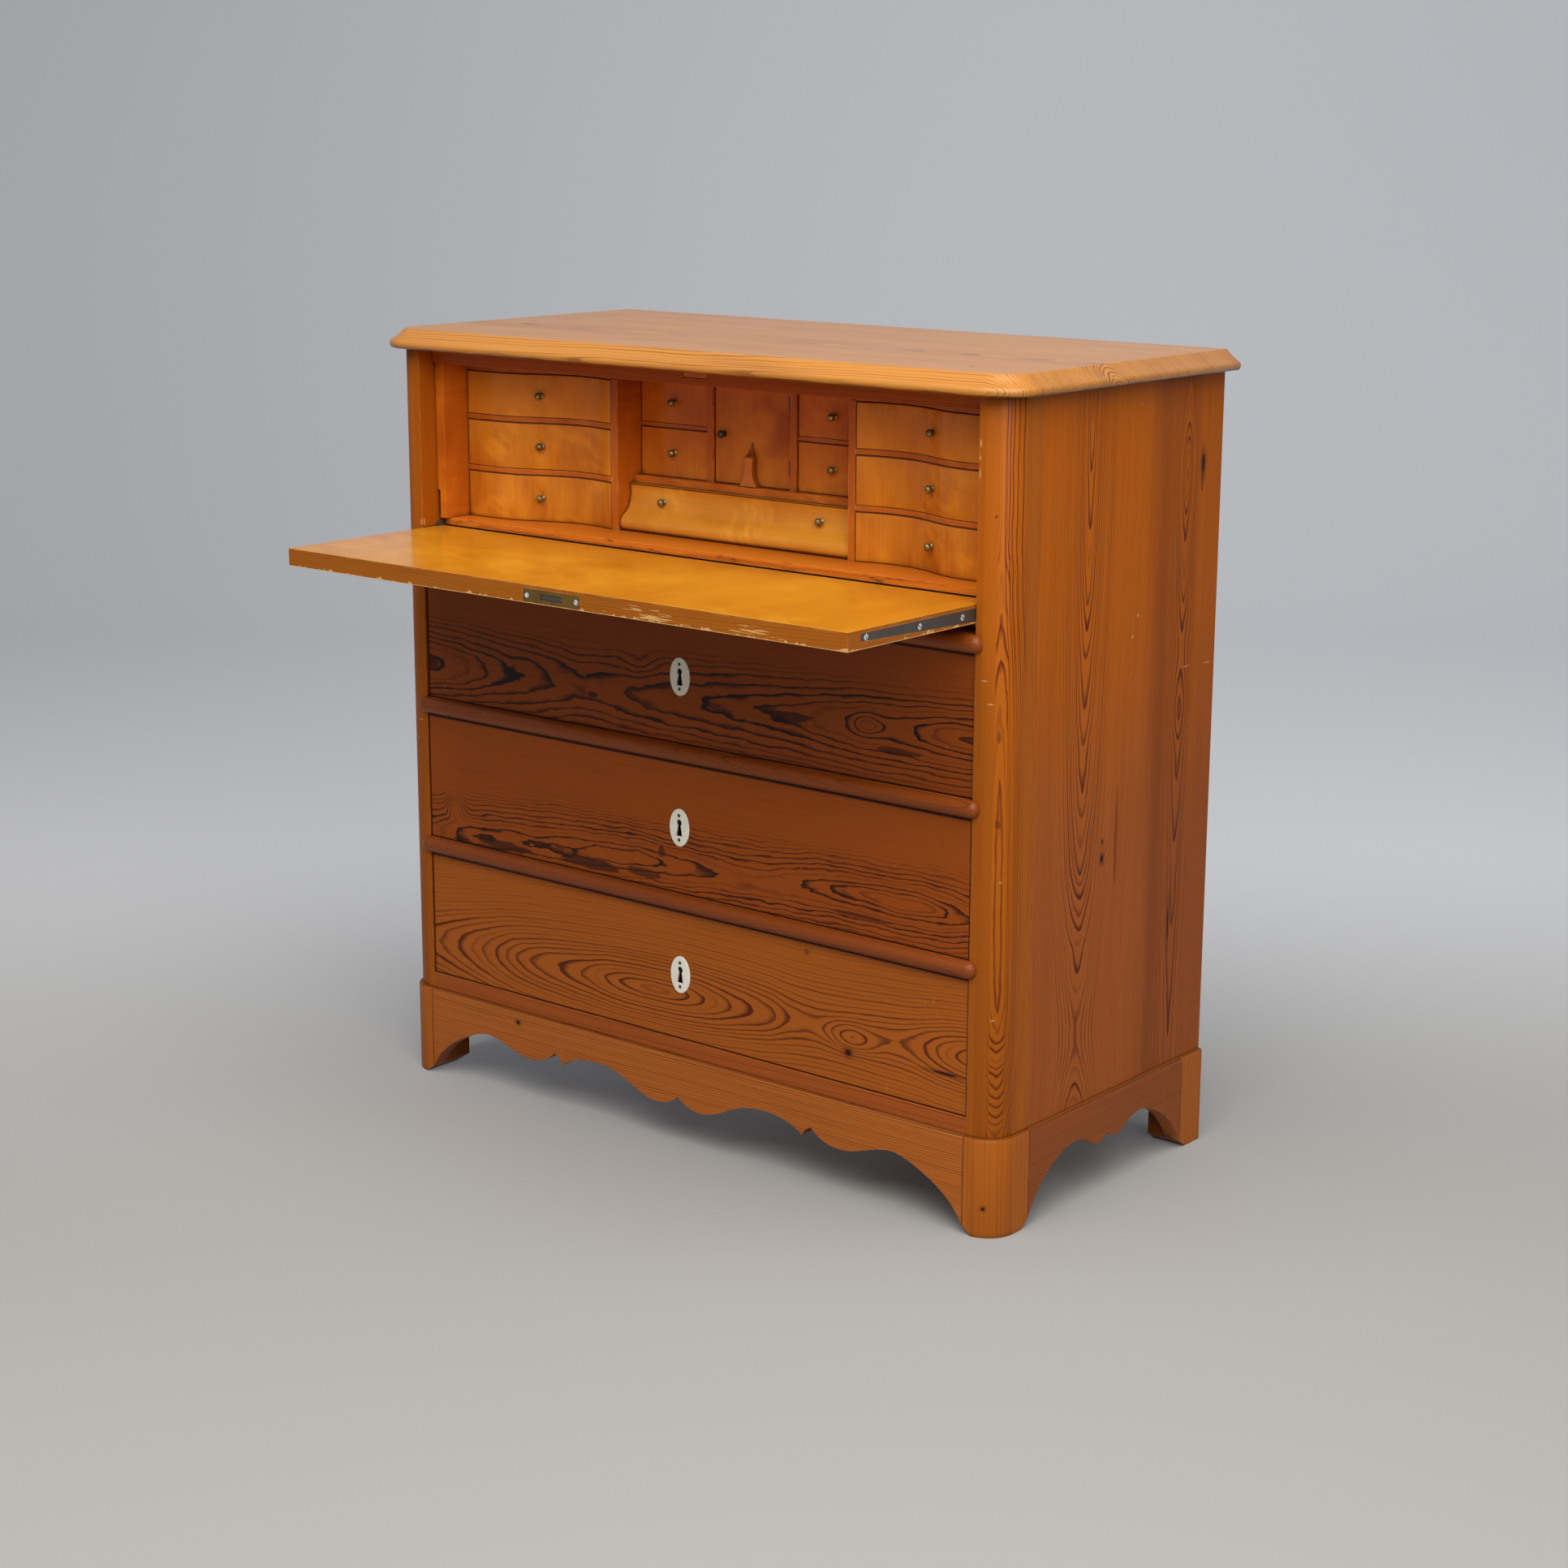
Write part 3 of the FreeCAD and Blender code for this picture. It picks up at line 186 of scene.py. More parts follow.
def paint(red, green, blue):
    """A linear colour from one given as it shows on a screen, each part from 0 to 255."""
    return tuple((part / 255 / 12.92 if part <= 10 else ((part / 255 + 0.055) / 1.055) ** 2.4)
                 for part in (red, green, blue)) + (1.0,)


corner_samples = 6


class Finish:
    """One material: its tree, its shader, and the places x, y and z on the piece."""

    def __init__(self, name):
        self.material = bpy.data.materials.new(name)
        self.material.use_nodes = True
        self.tree = self.material.node_tree
        self.shader = self.tree.nodes["Principled BSDF"]
        self.place = Wire(self.tree, None).node("ShaderNodeTexCoord", {}, {}, "Object")
        self.x = self.place.node("ShaderNodeSeparateXYZ", {}, {0: self.place})
        self.y = self.x.beside(1)
        self.z = self.x.beside(2)

    def set(self, **values):
        """Set or link the shader's sockets."""
        for name, value in values.items():
            socket = self.shader.inputs[name.replace("_", " ")]
            if isinstance(value, Wire):
                self.tree.links.new(value.socket, socket)
            else:
                socket.default_value = value

    def vector(self, x, y, z):
        """A vector from three values."""
        return self.x.node("ShaderNodeCombineXYZ", {}, {0: x, 1: y, 2: z})

    def bump(self, height, strength, distance):
        """The surface's normal, raised by a height from 0 to 1 over that distance."""
        return height.node("ShaderNodeBump", {}, {"Height": height, "Strength": strength,
                                                  "Distance": distance})

    def hollow(self, reach):
        """1 deep in a corner or a gap between pieces, 0 on an open face."""
        return 1.0 - self.x.node("ShaderNodeAmbientOcclusion", {"samples": corner_samples},
                                 {"Distance": reach}, 1)

    def arris(self, reach):
        """1 on a sharp outer edge of the piece, 0 on an open face."""
        return 1.0 - self.x.node("ShaderNodeAmbientOcclusion",
                                 {"samples": corner_samples, "inside": True, "only_local": True},
                                 {"Distance": reach}, 1)

    def facing(self, axis=1):
        """1 on faces that look along that axis, either way, and 0 on faces beside it."""
        normal = self.place.beside("Normal")
        return abs(normal.node("ShaderNodeSeparateXYZ", {}, {0: normal}, axis)).step(0.35, 0.6)

    def seam(self, *pairs):
        """1 along the lines where each pair's value comes within its reach of its place."""
        made = None
        for value, place, reach in pairs:
            line = 1.0 - abs(value - place).step(reach * 0.45, reach)
            made = line if made is None else made.larger(line)
        return made

    def lay(self, along, across, into):
        """Say how the wood lies: along its fibres, across its face, and in from its face."""
        self.along = along
        self.across = across
        self.into = into

    def grain(self, length, width, detail=2.0, rough=0.5):
        """Noise drawn out along the fibres, by its waves to a metre along them and across them."""
        place = self.vector(self.along * length, self.across * width, self.into * width)
        return place.noise(1.0, detail, rough)

    def mark(self, along, across, half_length, half_width):
        """1 in the middle of an oval on the wood's face, falling to 0 at its rim."""
        first = (self.along - along) / half_length
        second = (self.across - across) / half_width
        return 1.0 - (first ** 2.0 + second ** 2.0).math("SQRT").step(0.35, 1.0)

    def eye(self, radius, along, across, half_length, half_width, lift):
        """Rings drawn in or pushed out round one place, as beside a hidden knot."""
        first = (self.along - along) / half_length
        second = (self.across - across) / half_width
        return radius + (0.0 - (first * first + second * second)).math("EXPONENT") * lift


# How a board was cut from its tree. Its faces cut the yearly rings, which lie about the tree's
# heart, and depths says how far under the face the heart runs at places along the board.
ring_width = 0.003
ring_unevenness = 1.5
fibre_length = 0.035
fibre_width = 0.0008
# How far the pale worn arrises reach: partly worn to raw wood, partly a painted highlight along the
# edges
rubbed_and_highlight_reach = 0.0016
# How far the painted shade in corners and gaps reaches
corner_shade_reach = 0.010
varnish_ior = 1.42
dull, glossy = 0.34, 0.16
# Near black: painted shade in gaps, corners and hollows, and the dark of some joints and knocks
shade_and_grime = paint(22, 10, 5)
# Pale raw wood: on worn arrises, where it also stands for a painted highlight, and on pale marks and
# flecks
raw_wood_and_highlight = paint(214, 168, 112)
knot_heart = paint(28, 15, 9)
# Near black: painted shade inside a keyhole
keyhole_shade = paint(8, 5, 3)


def radius_from_heart(made, heart, depths, wander=0.008, shake=0.0016, spread=1.0,
                      roundness=2.0):
    """How far a point of a board lies from the heart of its tree, and how far to its side.

    The first is out and deep, each to the power roundness, added, and the sum's root of the same
    degree: 2 gives round figures and less gives pointed ones. out is the distance across the
    board from the heart's line, which slopes along the board, and spread below 1 widens the
    figure. deep is the heart's depth under this point, from the pairs of place and depth. Slow
    noise makes both wander, and quick noise shakes the result.
    """
    slow = made.grain(3.0, 8.0) - 0.5
    quick = made.grain(26.0, 80.0) - 0.5
    first, last = depths[0][0], depths[-1][0]
    deepest = max(depth for _, depth in depths)
    stops = [((place - first) / (last - first), (depth / deepest,) * 3 + (1.0,))
             for place, depth in depths]
    curve = made.along.node("ShaderNodeValToRGB", {"stops": stops},
                            {0: (made.along - first) / (last - first)})
    out = made.across - made.along * heart[1] - heart[0] + slow * wander
    wide = abs(out * spread) ** roundness
    deep = abs(curve * deepest - made.into) ** roundness
    return (wide + deep) ** (1.0 / roundness) + quick * shake, out


def ring_lines(made, radius, out, width=ring_width, bold=(0.03, 0.06), faint=0.3, swell=0.0,
               start=0.56):
    """Each ring's late wood: it darkens outwards and ends sharply, some years more than others.

    It is bold near the heart's line and faint further out. swell lets it thicken into blots.
    """
    uneven = made.vector(radius * 80.0, 0.0, 0.0).noise(1.0, 1.0) - 0.5
    count = radius / width + uneven * ring_unevenness
    part = count.math("FRACT")
    year = count.node("ShaderNodeTexWhiteNoise", {"noise_dimensions": "1D"},
                      {"W": count.math("FLOOR")})
    if swell:
        start = start - made.place.noise(24.0).step(0.46, 0.66) * swell
    late = part.step(start, 0.9) * (1.0 - part.step(0.92, 1.0))
    near = (1.0 - abs(out).step(*bold)) * (1.0 - faint) + faint
    return late * (year + 0.35) * near


def varnished(made, colour, height, polish, rough=0.44, wear=0.35, corner_shade=0.85, seam=None,
              gap=shade_and_grime, gloss=dull):
    """Old varnish: painted shade in the corners and gaps and along the seams, pale worn arrises that
    stand partly for a painted highlight, and a worn soft gloss.
    """
    worn = made.place.noise(9.0, 3.0)
    patchy = made.place.noise(55.0, 3.0)
    # Pale arrises: partly worn to raw wood, partly a painted highlight along the board edges
    rubbed_and_highlight = made.arris(rubbed_and_highlight_reach).step(0.12, 0.5) * patchy.step(0.42, 0.66)
    colour = (rubbed_and_highlight * wear).mix(colour, raw_wood_and_highlight)
    # Painted shade: ambient occlusion darkens corners and gaps, and the seams it is given darken as
    # well
    shut = made.hollow(corner_shade_reach).step(0.3, 0.85) * corner_shade
    if seam:
        shut = shut.larger(seam * 0.94)
    colour = shut.mix(colour, gap)
    made.set(Base_Color=colour, Roughness=rough + (worn - 0.5) * 0.22, Specular_IOR_Level=0.1,
             Coat_Weight=polish, Coat_Roughness=gloss, Coat_IOR=varnish_ior,
             Normal=made.bump(height, 0.1, 0.0003))
    return made.material


def stained_pine(made, light, dark, late, line=0.8, knots=(), smears=(), holes=(), marks=(),
                 polish=0.14, tone=0.4, fibrous=0.3, wear=0.35, seam=None, gloss=dull):
    """Pine under a brown stain, from its ring lines: fibres, cloudy tone, knots and scratches.

    Each knot, hole and pale mark is a place along and across and two half sizes; a hole is the
    painted shade inside a keyhole. A smear of dark grain has its strength as well.
    """
    fibre = made.grain(1 / fibre_length, 1 / fibre_width, 2.0, 0.6)
    broad = made.grain(2.2, 16.0, 3.0, 0.6)
    ragged = made.grain(34.0, 170.0)
    streak = made.grain(5.0, 230.0, 3.0, 0.6)
    strength = late * line + (fibre - 0.5) * fibrous + (streak - 0.5) * 0.55 + (broad - 0.5) * tone
    colour = strength.held().mix(light, dark)
    # Painted shade: the dark inside a keyhole, seen behind its plate
    for hole in holes:
        colour = made.mark(*hole).step(0.0, 0.3).mix(colour, keyhole_shade)
    for *oval, depth in smears:
        smear = made.mark(*oval)
        smear = (smear + (ragged - 0.5) * 1.6).step(0.25, 0.6) * smear.step(0.0, 0.15)
        colour = (smear * depth).mix(colour, dark)
    for along, across, half_length, half_width in knots:
        halo = made.mark(along, across, half_length * 2.2, half_width * 2.2)
        heart = made.mark(along, across, half_length, half_width).step(0.1, 0.5)
        colour = (heart * 0.9).mix((halo * 0.55).mix(colour, dark), knot_heart)
    few = made.place.noise(13.0, 1.0)
    pale = made.grain(700.0, 42.0, 1.0).step(0.735, 0.8) * few.step(0.6, 0.68)
    fleck = made.place.noise(420.0, 0.0).step(0.83, 0.88) * few.step(0.45, 0.65)
    for mark in marks:
        pale = pale + made.mark(*mark)
    colour = ((pale + fleck * 0.5) * 0.55).math("MINIMUM", 1.0).mix(colour, raw_wood_and_highlight)
    return varnished(made, colour, late * 0.5 + fibre * 0.5, polish, wear=wear, seam=seam,
                     gloss=gloss)


# The painted shade in the gaps round a long drawer's front, and the painted shade inside its keyhole
# behind the bone plate
gap_above, gap_below, gap_beside = 0.0036, 0.0022, 0.0020
dark_half_width, dark_half_height = 0.0090, 0.0150
dark_rise = 0.0006


def drawer_front(level):
    """A long drawer's material, with its board laid level, and the painted shade in its gaps and
    keyhole.
    """
    low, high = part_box("drawer_%s_front" % level)
    made = Finish("front_pine_" + level)
    made.lay(made.x, made.z, made.y - low.y)
    # Painted shade in the gaps above, below and beside the front
    gaps = made.seam((made.z, high.z, gap_above), (made.z, low.z, gap_below),
                     (abs(made.x), high.x, gap_beside))
    keyhole = (0.0, (low.z + high.z) / 2 + dark_rise, dark_half_width, dark_half_height)
    return made, {"seam": made.facing() * gaps, "holes": [keyhole]}


def front_bottom():
    """The lowest front: one long figure about its middle, and a small one round a knot."""
    made, shut = drawer_front("bottom")
    depths = [(-0.44, 0.052), (-0.30, 0.033), (-0.15, 0.017), (-0.045, 0.006), (0.05, 0.015),
              (0.15, 0.027), (0.21, 0.033), (0.30, 0.030), (0.37, 0.024), (0.44, 0.010)]
    radius, out = radius_from_heart(made, (0.1985, 0.03), depths, spread=0.8)
    radius = made.eye(radius, 0.269, 0.200, 0.034, 0.017, -0.013)
    late = ring_lines(made, radius, out, 0.0034, (0.028, 0.06), 0.45, start=0.5)
    return stained_pine(made, paint(168, 87, 22), paint(88, 34, 9), late, 0.9, **shut,
                        knots=[(0.264, 0.181, 0.006, 0.005), (0.406, 0.1865, 0.022, 0.0022)],
                        smears=[(0.200, 0.293, 0.006, 0.006, 0.5)])


def front_middle():
    """The middle front: blots and narrow figures low down, and plain wood above."""
    made, shut = drawer_front("middle")
    depths = [(-0.44, 0.016), (-0.37, 0.010), (-0.30, 0.009), (-0.18, 0.008), (-0.08, 0.007),
              (0.02, 0.010), (0.12, 0.014), (0.24, 0.009), (0.33, 0.004), (0.40, 0.007),
              (0.44, 0.012)]
    radius, out = radius_from_heart(made, (0.362, 0.05), depths, 0.035, 0.0045, 0.62)
    radius = made.eye(radius, -0.392, 0.378, 0.016, 0.016, -0.012)
    late = ring_lines(made, radius, out, 0.0030, (0.035, 0.075), 0.1, 0.35)
    late = late * made.across.step(0.455, 0.40)
    # Painted shade: its light and dark colours are darker than the lowest front's, for the shade
    # under the flap
    return stained_pine(made, paint(150, 70, 13), paint(52, 20, 7), late, 0.95, **shut,
                        smears=[(-0.30, 0.338, 0.06, 0.009, 0.8), (-0.15, 0.341, 0.07, 0.010, 0.8),
                                (-0.06, 0.345, 0.04, 0.008, 0.7), (-0.03, 0.377, 0.008, 0.010, 0.7),
                                (0.28, 0.352, 0.06, 0.004, 0.6)])


def front_top():
    """The top front: bold dark figures drawn out along it, under a plain strip."""
    made, shut = drawer_front("top")
    depths = [(-0.44, 0.010), (-0.37, 0.014), (-0.30, 0.019), (-0.25, 0.021), (-0.163, 0.026),
              (-0.06, 0.022), (0.07, 0.019), (0.20, 0.015), (0.27, 0.011), (0.35, 0.009),
              (0.38, 0.006), (0.44, 0.002)]
    radius, out = radius_from_heart(made, (0.5725, 0.027), depths, 0.014, 0.003, 0.5)
    radius = made.eye(radius, 0.285, 0.581, 0.02, 0.010, -0.006)
    radius = made.eye(radius, -0.065, 0.607, 0.03, 0.018, 0.005)
    late = ring_lines(made, radius, out, 0.0030, (0.035, 0.085), 0.2, 0.2)
    late = late * made.across.step(0.655, 0.61)
    # Painted shade: its colours are the darkest of the three fronts, for the deep shade under the
    # flap
    return stained_pine(made, paint(138, 63, 11), paint(34, 13, 5), late, 1.0, tone=0.5, **shut,
                        smears=[(0.17, 0.575, 0.05, 0.008, 0.8), (0.33, 0.556, 0.04, 0.006, 0.7),
                                (-0.145, 0.559, 0.012, 0.005, 0.8),
                                (-0.43, 0.564, 0.015, 0.01, 0.8)])


# The two boards of a side, and how far the left side's figures are moved against the right's.
# Left turns into right within middle_half of the piece's middle, where it has no side.
side_joint = 0.1995
side_joint_half = 0.0005
side_front_heart = 0.052
side_rear_heart = 0.258
side_left_lift = 0.11
middle_half = 0.1


def side_pine():
    """Two boards glued edge to edge, each with its own heart."""
    made = Finish("side_pine")
    right = made.x.step(-middle_half, middle_half)
    outer_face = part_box("side_boards")[1].x
    made.lay(made.z + (1.0 - right) * side_left_lift, made.y, outer_face - abs(made.x))
    along, across = made.along, made.across
    depths = [(0.10, 0.052), (0.1706, 0.063), (0.22, 0.066), (0.274, 0.061), (0.33, 0.055),
              (0.399, 0.043), (0.48, 0.035), (0.574, 0.029), (0.664, 0.023), (0.724, 0.017),
              (0.80, 0.0125), (0.883, 0.008), (1.08, 0.003)]
    front, front_out = radius_from_heart(made, (side_front_heart, 0.0), depths, 0.006, 0.0018,
                                         roundness=1.75)
    front = made.eye(front, 0.4145, 0.0975, 0.020, 0.016, 0.012)
    depths = [(0.10, 0.034), (0.30, 0.030), (0.408, 0.027), (0.525, 0.021), (0.5675, 0.0165),
              (0.64, 0.021), (0.711, 0.016), (0.755, 0.013), (0.80, 0.009), (0.855, 0.003),
              (0.908, 0.011), (0.97, 0.017), (1.08, 0.02)]
    rear, rear_out = radius_from_heart(made, (side_rear_heart, 0.0), depths, 0.006, 0.0016,
                                       roundness=1.75)
    joint = across.step(side_joint - side_joint_half, side_joint + side_joint_half)
    radius = front + joint * (rear - front)
    out = front_out + joint * (rear_out * 1.5 - front_out)
    late = ring_lines(made, radius, out, ring_width, (0.014, 0.06), 0.4, start=0.42)
    band = made.vector(along * 0.6, across * 30.0, 0.0).noise(1.0, 2.0)
    beside = 1.0 - abs(across - 0.205).step(0.008, 0.045)
    shade = beside * 0.28 + joint * 0.22 + (band - 0.5) * 0.6
    # Painted reflection: low down the side's colour is greyer and bluer, standing for the pale
    # floor's sheen; above it is golden
    light = along.step(0.40, 0.72).mix(paint(166, 86, 31), paint(183, 92, 6))
    light = shade.held().mix(light, paint(112, 50, 12))
    return stained_pine(made, light, paint(84, 30, 5), late, 0.9, tone=0.35, fibrous=0.35,
                        polish=0.05,
                        knots=[(0.4145, 0.0975, 0.006, 0.004), (0.435, 0.0975, 0.003, 0.002),
                               (0.861, 0.2925, 0.014, 0.0045), (0.300, 0.249, 0.026, 0.002)],
                        smears=[(0.435, 0.126, 0.075, 0.005, 0.5), (0.84, 0.292, 0.02, 0.004, 0.6)],
                        marks=[(0.6956, 0.159, 0.003, 0.003), (0.672, 0.149, 0.003, 0.003),
                               (0.6188, 0.270, 0.0009, 0.012), (0.6165, 0.318, 0.0009, 0.010)])


# A corner post, whose places across are measured round the corner, from the piece's middle
corner_lean = 0.9
corner_joint = 0.4676
corner_joint_half = 0.0003
corner_heart = 0.4835
corner_eye = 0.0115
corner_lines = (0.4775, 0.4826, 0.4876, 0.4950, 0.5040)
corner_line_reach = 0.0014
post_left_lift = 0.17


def post_pine():
    """A plain strip beside the opening, and a rounded corner piece with a bold figure.

    The figure is laid out round the corner: around is the distance from the middle of the piece
    plus a share of the distance back from the front.
    """
    made = Finish("post_pine")
    left = 1.0 - made.x.step(-middle_half, middle_half)
    back = made.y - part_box("corner_posts")[0].y
    made.lay(made.z + left * post_left_lift, abs(made.x) + back * corner_lean, 0.0)
    along, around = made.along, made.across
    depths = [(0.12, 0.035), (0.138, 0.0315), (0.169, 0.0235), (0.204, 0.0155), (0.235, 0.0075),
              (0.2628, 0.0035), (0.30, 0.0012), (0.46, 0.0012), (0.5617, 0.0035),
              (0.6756, 0.0075), (0.731, 0.0115), (0.757, 0.0128), (0.81, 0.0136),
              (0.878, 0.0134), (0.97, 0.0140), (1.15, 0.0130)]
    radius, out = radius_from_heart(made, (corner_heart, -0.0125), depths, 0.004, 0.0022,
                                    0.38, 1.4)
    radius = radius + (abs(out) - corner_eye).larger(0.0) * 0.6
    radius = radius + abs(out) * along.step(0.76, 0.84) * 0.55
    corner = around.step(corner_joint - corner_joint_half, corner_joint + corner_joint_half)
    flank = 1.0 - back.step(0.034, 0.046) * 0.6
    late = ring_lines(made, radius, out, 0.0027, (0.06, 0.08), 0.5, start=0.45)
    sway = made.grain(13.0, 30.0, 2.0, 0.6) - 0.5
    bent = around + sway * 0.006 - (0.80 - along).larger(0.0) * 0.075
    wavy = made.seam(*((bent, place, corner_line_reach) for place in corner_lines))
    late = late * (1.0 - along.step(0.78, 0.86) * 0.4) + wavy * along.step(0.60, 0.72) * 0.8
    late = late * (corner * 0.92 + 0.08) * flank
    light = corner.mix(paint(161, 83, 13), paint(171, 89, 14))
    return stained_pine(made, light, paint(98, 34, 6), late, 0.85, tone=0.35,
                        polish=0.08 - left * 0.07,
                        knots=[(0.838, 0.4638, 0.0012, 0.0015)],
                        smears=[(0.592, 0.4745, 0.010, 0.004, 0.6),
                                (0.724, 0.4740, 0.010, 0.004, 0.6),
                                (0.492, 0.4755, 0.008, 0.007, 0.6)],
                        marks=[(0.917, 0.4410, 0.006, 0.0020), (0.901, 0.4405, 0.004, 0.0014),
                               (0.884, 0.4405, 0.008, 0.0012), (0.655, 0.4515, 0.0012, 0.006),
                               (0.629, 0.461, 0.0012, 0.007), (0.425, 0.4815, 0.0011, 0.004),
                               (0.2625, 0.474, 0.0014, 0.006)])


# Where the plinth's rear corner blocks begin, and how wide its joints look
rear_block_front = 0.2876
plinth_joint_reach = 0.0014


def plinth_pine(name, light, dark, gap, line, upright):
    """The aprons run level and the corner blocks upright; both are nearly plain."""
    made = Finish(name)
    level = made.x + made.y
    if upright:
        made.lay(made.z, level, 0.0)
        heart = (0.61, 0.0)
        knots = [(0.036, 0.357, 0.003, 0.004)]
    else:
        made.lay(level, made.z, 0.0)
        heart = (-0.06, 0.01)
        knots = [(-0.39, 0.105, 0.004, 0.003)]
        # Painted shade: the aprons' faces that look sideways are darker
        light = made.facing(0).mix(light, paint(150, 76, 27))
    depths = [(-0.9, 0.02), (-0.3, 0.03), (0.2, 0.012), (0.9, 0.03)]
    radius, out = radius_from_heart(made, heart, depths, 0.01, 0.002)
    late = ring_lines(made, radius, out, gap, faint=0.8)
    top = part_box("plinth_aprons")[1].z
    opening_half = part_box("drawer_rails")[1].x
    front_block_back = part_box("side_boards")[0].y
    lip = 1.0 - abs(made.z - top).step(0.0008, 0.0026)
    joints = made.seam((abs(made.x), opening_half, plinth_joint_reach),
                       (made.y, front_block_back, plinth_joint_reach),
                       (made.y, rear_block_front, plinth_joint_reach))
    return stained_pine(made, light, dark, late, line, wear=0.7, knots=knots,
                        seam=(lip * 0.6).larger(joints * 0.55))


# The rails' hearts are measured from a level just before the carcass
rail_face = 0.11


def rail_lines(made, heart, depths):
    """The straight even lines of a board or rail that runs from side to side."""
    made.lay(made.x, made.z, made.y + rail_face)
    radius, out = radius_from_heart(made, heart, depths)
    made.lay(made.x, made.z, made.y)
    return ring_lines(made, radius, out, faint=1.0)


def level_pine(name, light, dark, heart, depth, line=0.6, **look):
    """A plain rail or nosing."""
    made = Finish(name)
    late = rail_lines(made, heart, [(-0.6, depth), (-0.2, depth * 0.8), (0.3, depth * 1.1),
                                    (0.6, depth)])
    return stained_pine(made, light, dark, late, line, **look)


# The block let into the rail over the opening
strike_middle = 0.009
strike_half_width = 0.019
strike_height = 0.96305
strike_half_height = 0.00475


def top_rail_pine():
    """The rail over the opening, with the paler block let in for the lock's bolt."""
    made = Finish("top_rail_pine")
    late = rail_lines(made, (0.3, 0.0), [(-0.6, 0.09), (0.0, 0.08), (0.6, 0.09)])
    beside = abs(made.x - strike_middle) - strike_half_width
    outside = beside.larger(abs(made.z - strike_height) - strike_half_height)
    block = 1.0 - outside.step(-0.0004, 0.0004)
    outline = 1.0 - abs(outside).step(0.0003, 0.0011)
    light = block.mix(paint(178, 84, 22), paint(214, 118, 58))
    dark = block.mix(paint(92, 36, 9), paint(168, 84, 38))
    return stained_pine(made, light, dark, late, 0.5, seam=outline * 0.6)


def flap_pine():
    """The flap's board: straight lines along its edge, which is scratched and has lost its arris.

    Its outside is stained as dark as the drawers.
    """
    made = Finish("flap_pine")
    low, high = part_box("flap_board")
    made.lay(made.x, made.z, made.y - low.y)
    radius, out = radius_from_heart(made, (0.64, 0.004), [(-0.6, 0.08), (0.0, 0.10), (0.6, 0.09)],
                                    0.002, 0.001)
    late = ring_lines(made, radius, out, 0.0026, faint=1.0)
    outside = made.facing(2)
    front = 1.0 - made.into.step(0.0005, 0.0015)
    end = abs(made.x).step(high.x - 0.0015, high.x - 0.0005)
    nibble = made.vector(made.x * 60.0, made.y * 60.0, 0.0).noise(1.0, 3.0, 0.7)
    reach = (nibble - 0.52).larger(0.0) * 0.030 + 0.0008
    worn = (1.0 - ((made.z - low.z) / reach).step(0.6, 1.0)) * front.larger(end) * (1.0 - outside)
    corner = made.mark(high.x, low.z, 0.016, 0.006) * front
    scratch = made.vector(made.x * 34.0, made.z * 640.0, made.y * 640.0).noise(1.0)
    scuffed = made.mark(0.156, 0.7275, 0.062, 0.009) + made.mark(0.309, 0.7265, 0.036, 0.007)
    scuffed = scuffed + made.mark(0.22, 0.722, 0.20, 0.003) * 0.6
    chips = (scratch - 0.5 + (scuffed - 0.5) * 0.2).step(0.13, 0.16) * front * scuffed.step(0.0, 0.1)
    pale = worn.larger(chips).larger(corner.step(0.3, 0.6))
    broad = made.vector(made.x * 5.0, made.y * 20.0, made.z * 60.0).noise(1.0, 3.0, 0.6)
    fibre = made.vector(made.x / fibre_length, made.y / fibre_width, made.z / fibre_width)
    fibre = fibre.noise(1.0, 2.0, 0.6)
    strength = late * (outside * 0.5 + 0.4) + (fibre - 0.5) * 0.3 + (broad - 0.5) * 0.9
    light = outside.mix(paint(160, 88, 16), paint(150, 72, 14))
    colour = strength.held().mix(light, outside.mix(paint(110, 50, 9), paint(70, 28, 8)))
    colour = (pale * 0.8).mix(colour, paint(222, 172, 108))
    return varnished(made, colour, fibre, 0.2, wear=0.5, corner_shade=0.5)


def top_pine():
    """The top board: wide boards, dull with long use and paler than the case."""
    made = Finish("top_pine")
    low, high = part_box("top_board")
    made.lay(made.x, made.y, high.z - made.z)
    depths = [(-0.6, 0.03), (-0.1, 0.012), (0.25, 0.02), (0.6, 0.035)]
    radius, out = radius_from_heart(made, (0.06, 0.02), depths, 0.012)
    late = ring_lines(made, radius, out, 0.0034, faint=0.7, start=0.45)
    waver = made.vector(made.x * 22.0, made.y * 22.0, 0.0).noise(1.0) - 0.5
    edge = 1.0 - (made.z - low.z + waver * 0.004).step(0.0012, 0.0030)
    return stained_pine(made, paint(186, 122, 50), paint(98, 46, 15), late, 0.8, polish=0.62,
                        wear=0.5, tone=1.1, gloss=0.22, seam=edge * 0.7,
                        knots=[(0.39, -0.055, 0.004, 0.002)])


def floor_pine():
    """The interior's floor, whose front edge is bruised and dark in its knocks."""
    made = Finish("floor_pine")
    low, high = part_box("interior_floor")
    made.lay(made.x, made.y, high.z - made.z)
    radius, out = radius_from_heart(made, (0.02, 0.0), [(-0.5, 0.02), (0.0, 0.03), (0.5, 0.02)])
    late = ring_lines(made, radius, out, 0.0036, faint=0.8)
    front = 1.0 - (made.y - low.y).step(0.001, 0.004)
    knock = made.vector(made.x * 24.0, 0.0, made.z * 120.0).noise(1.0, 3.0, 0.6)
    return stained_pine(made, paint(204, 110, 26), paint(134, 54, 10), late, 0.5, polish=0.35,
                        wear=0.8, gloss=glossy, seam=front * knock.step(0.56, 0.70) * 0.7)


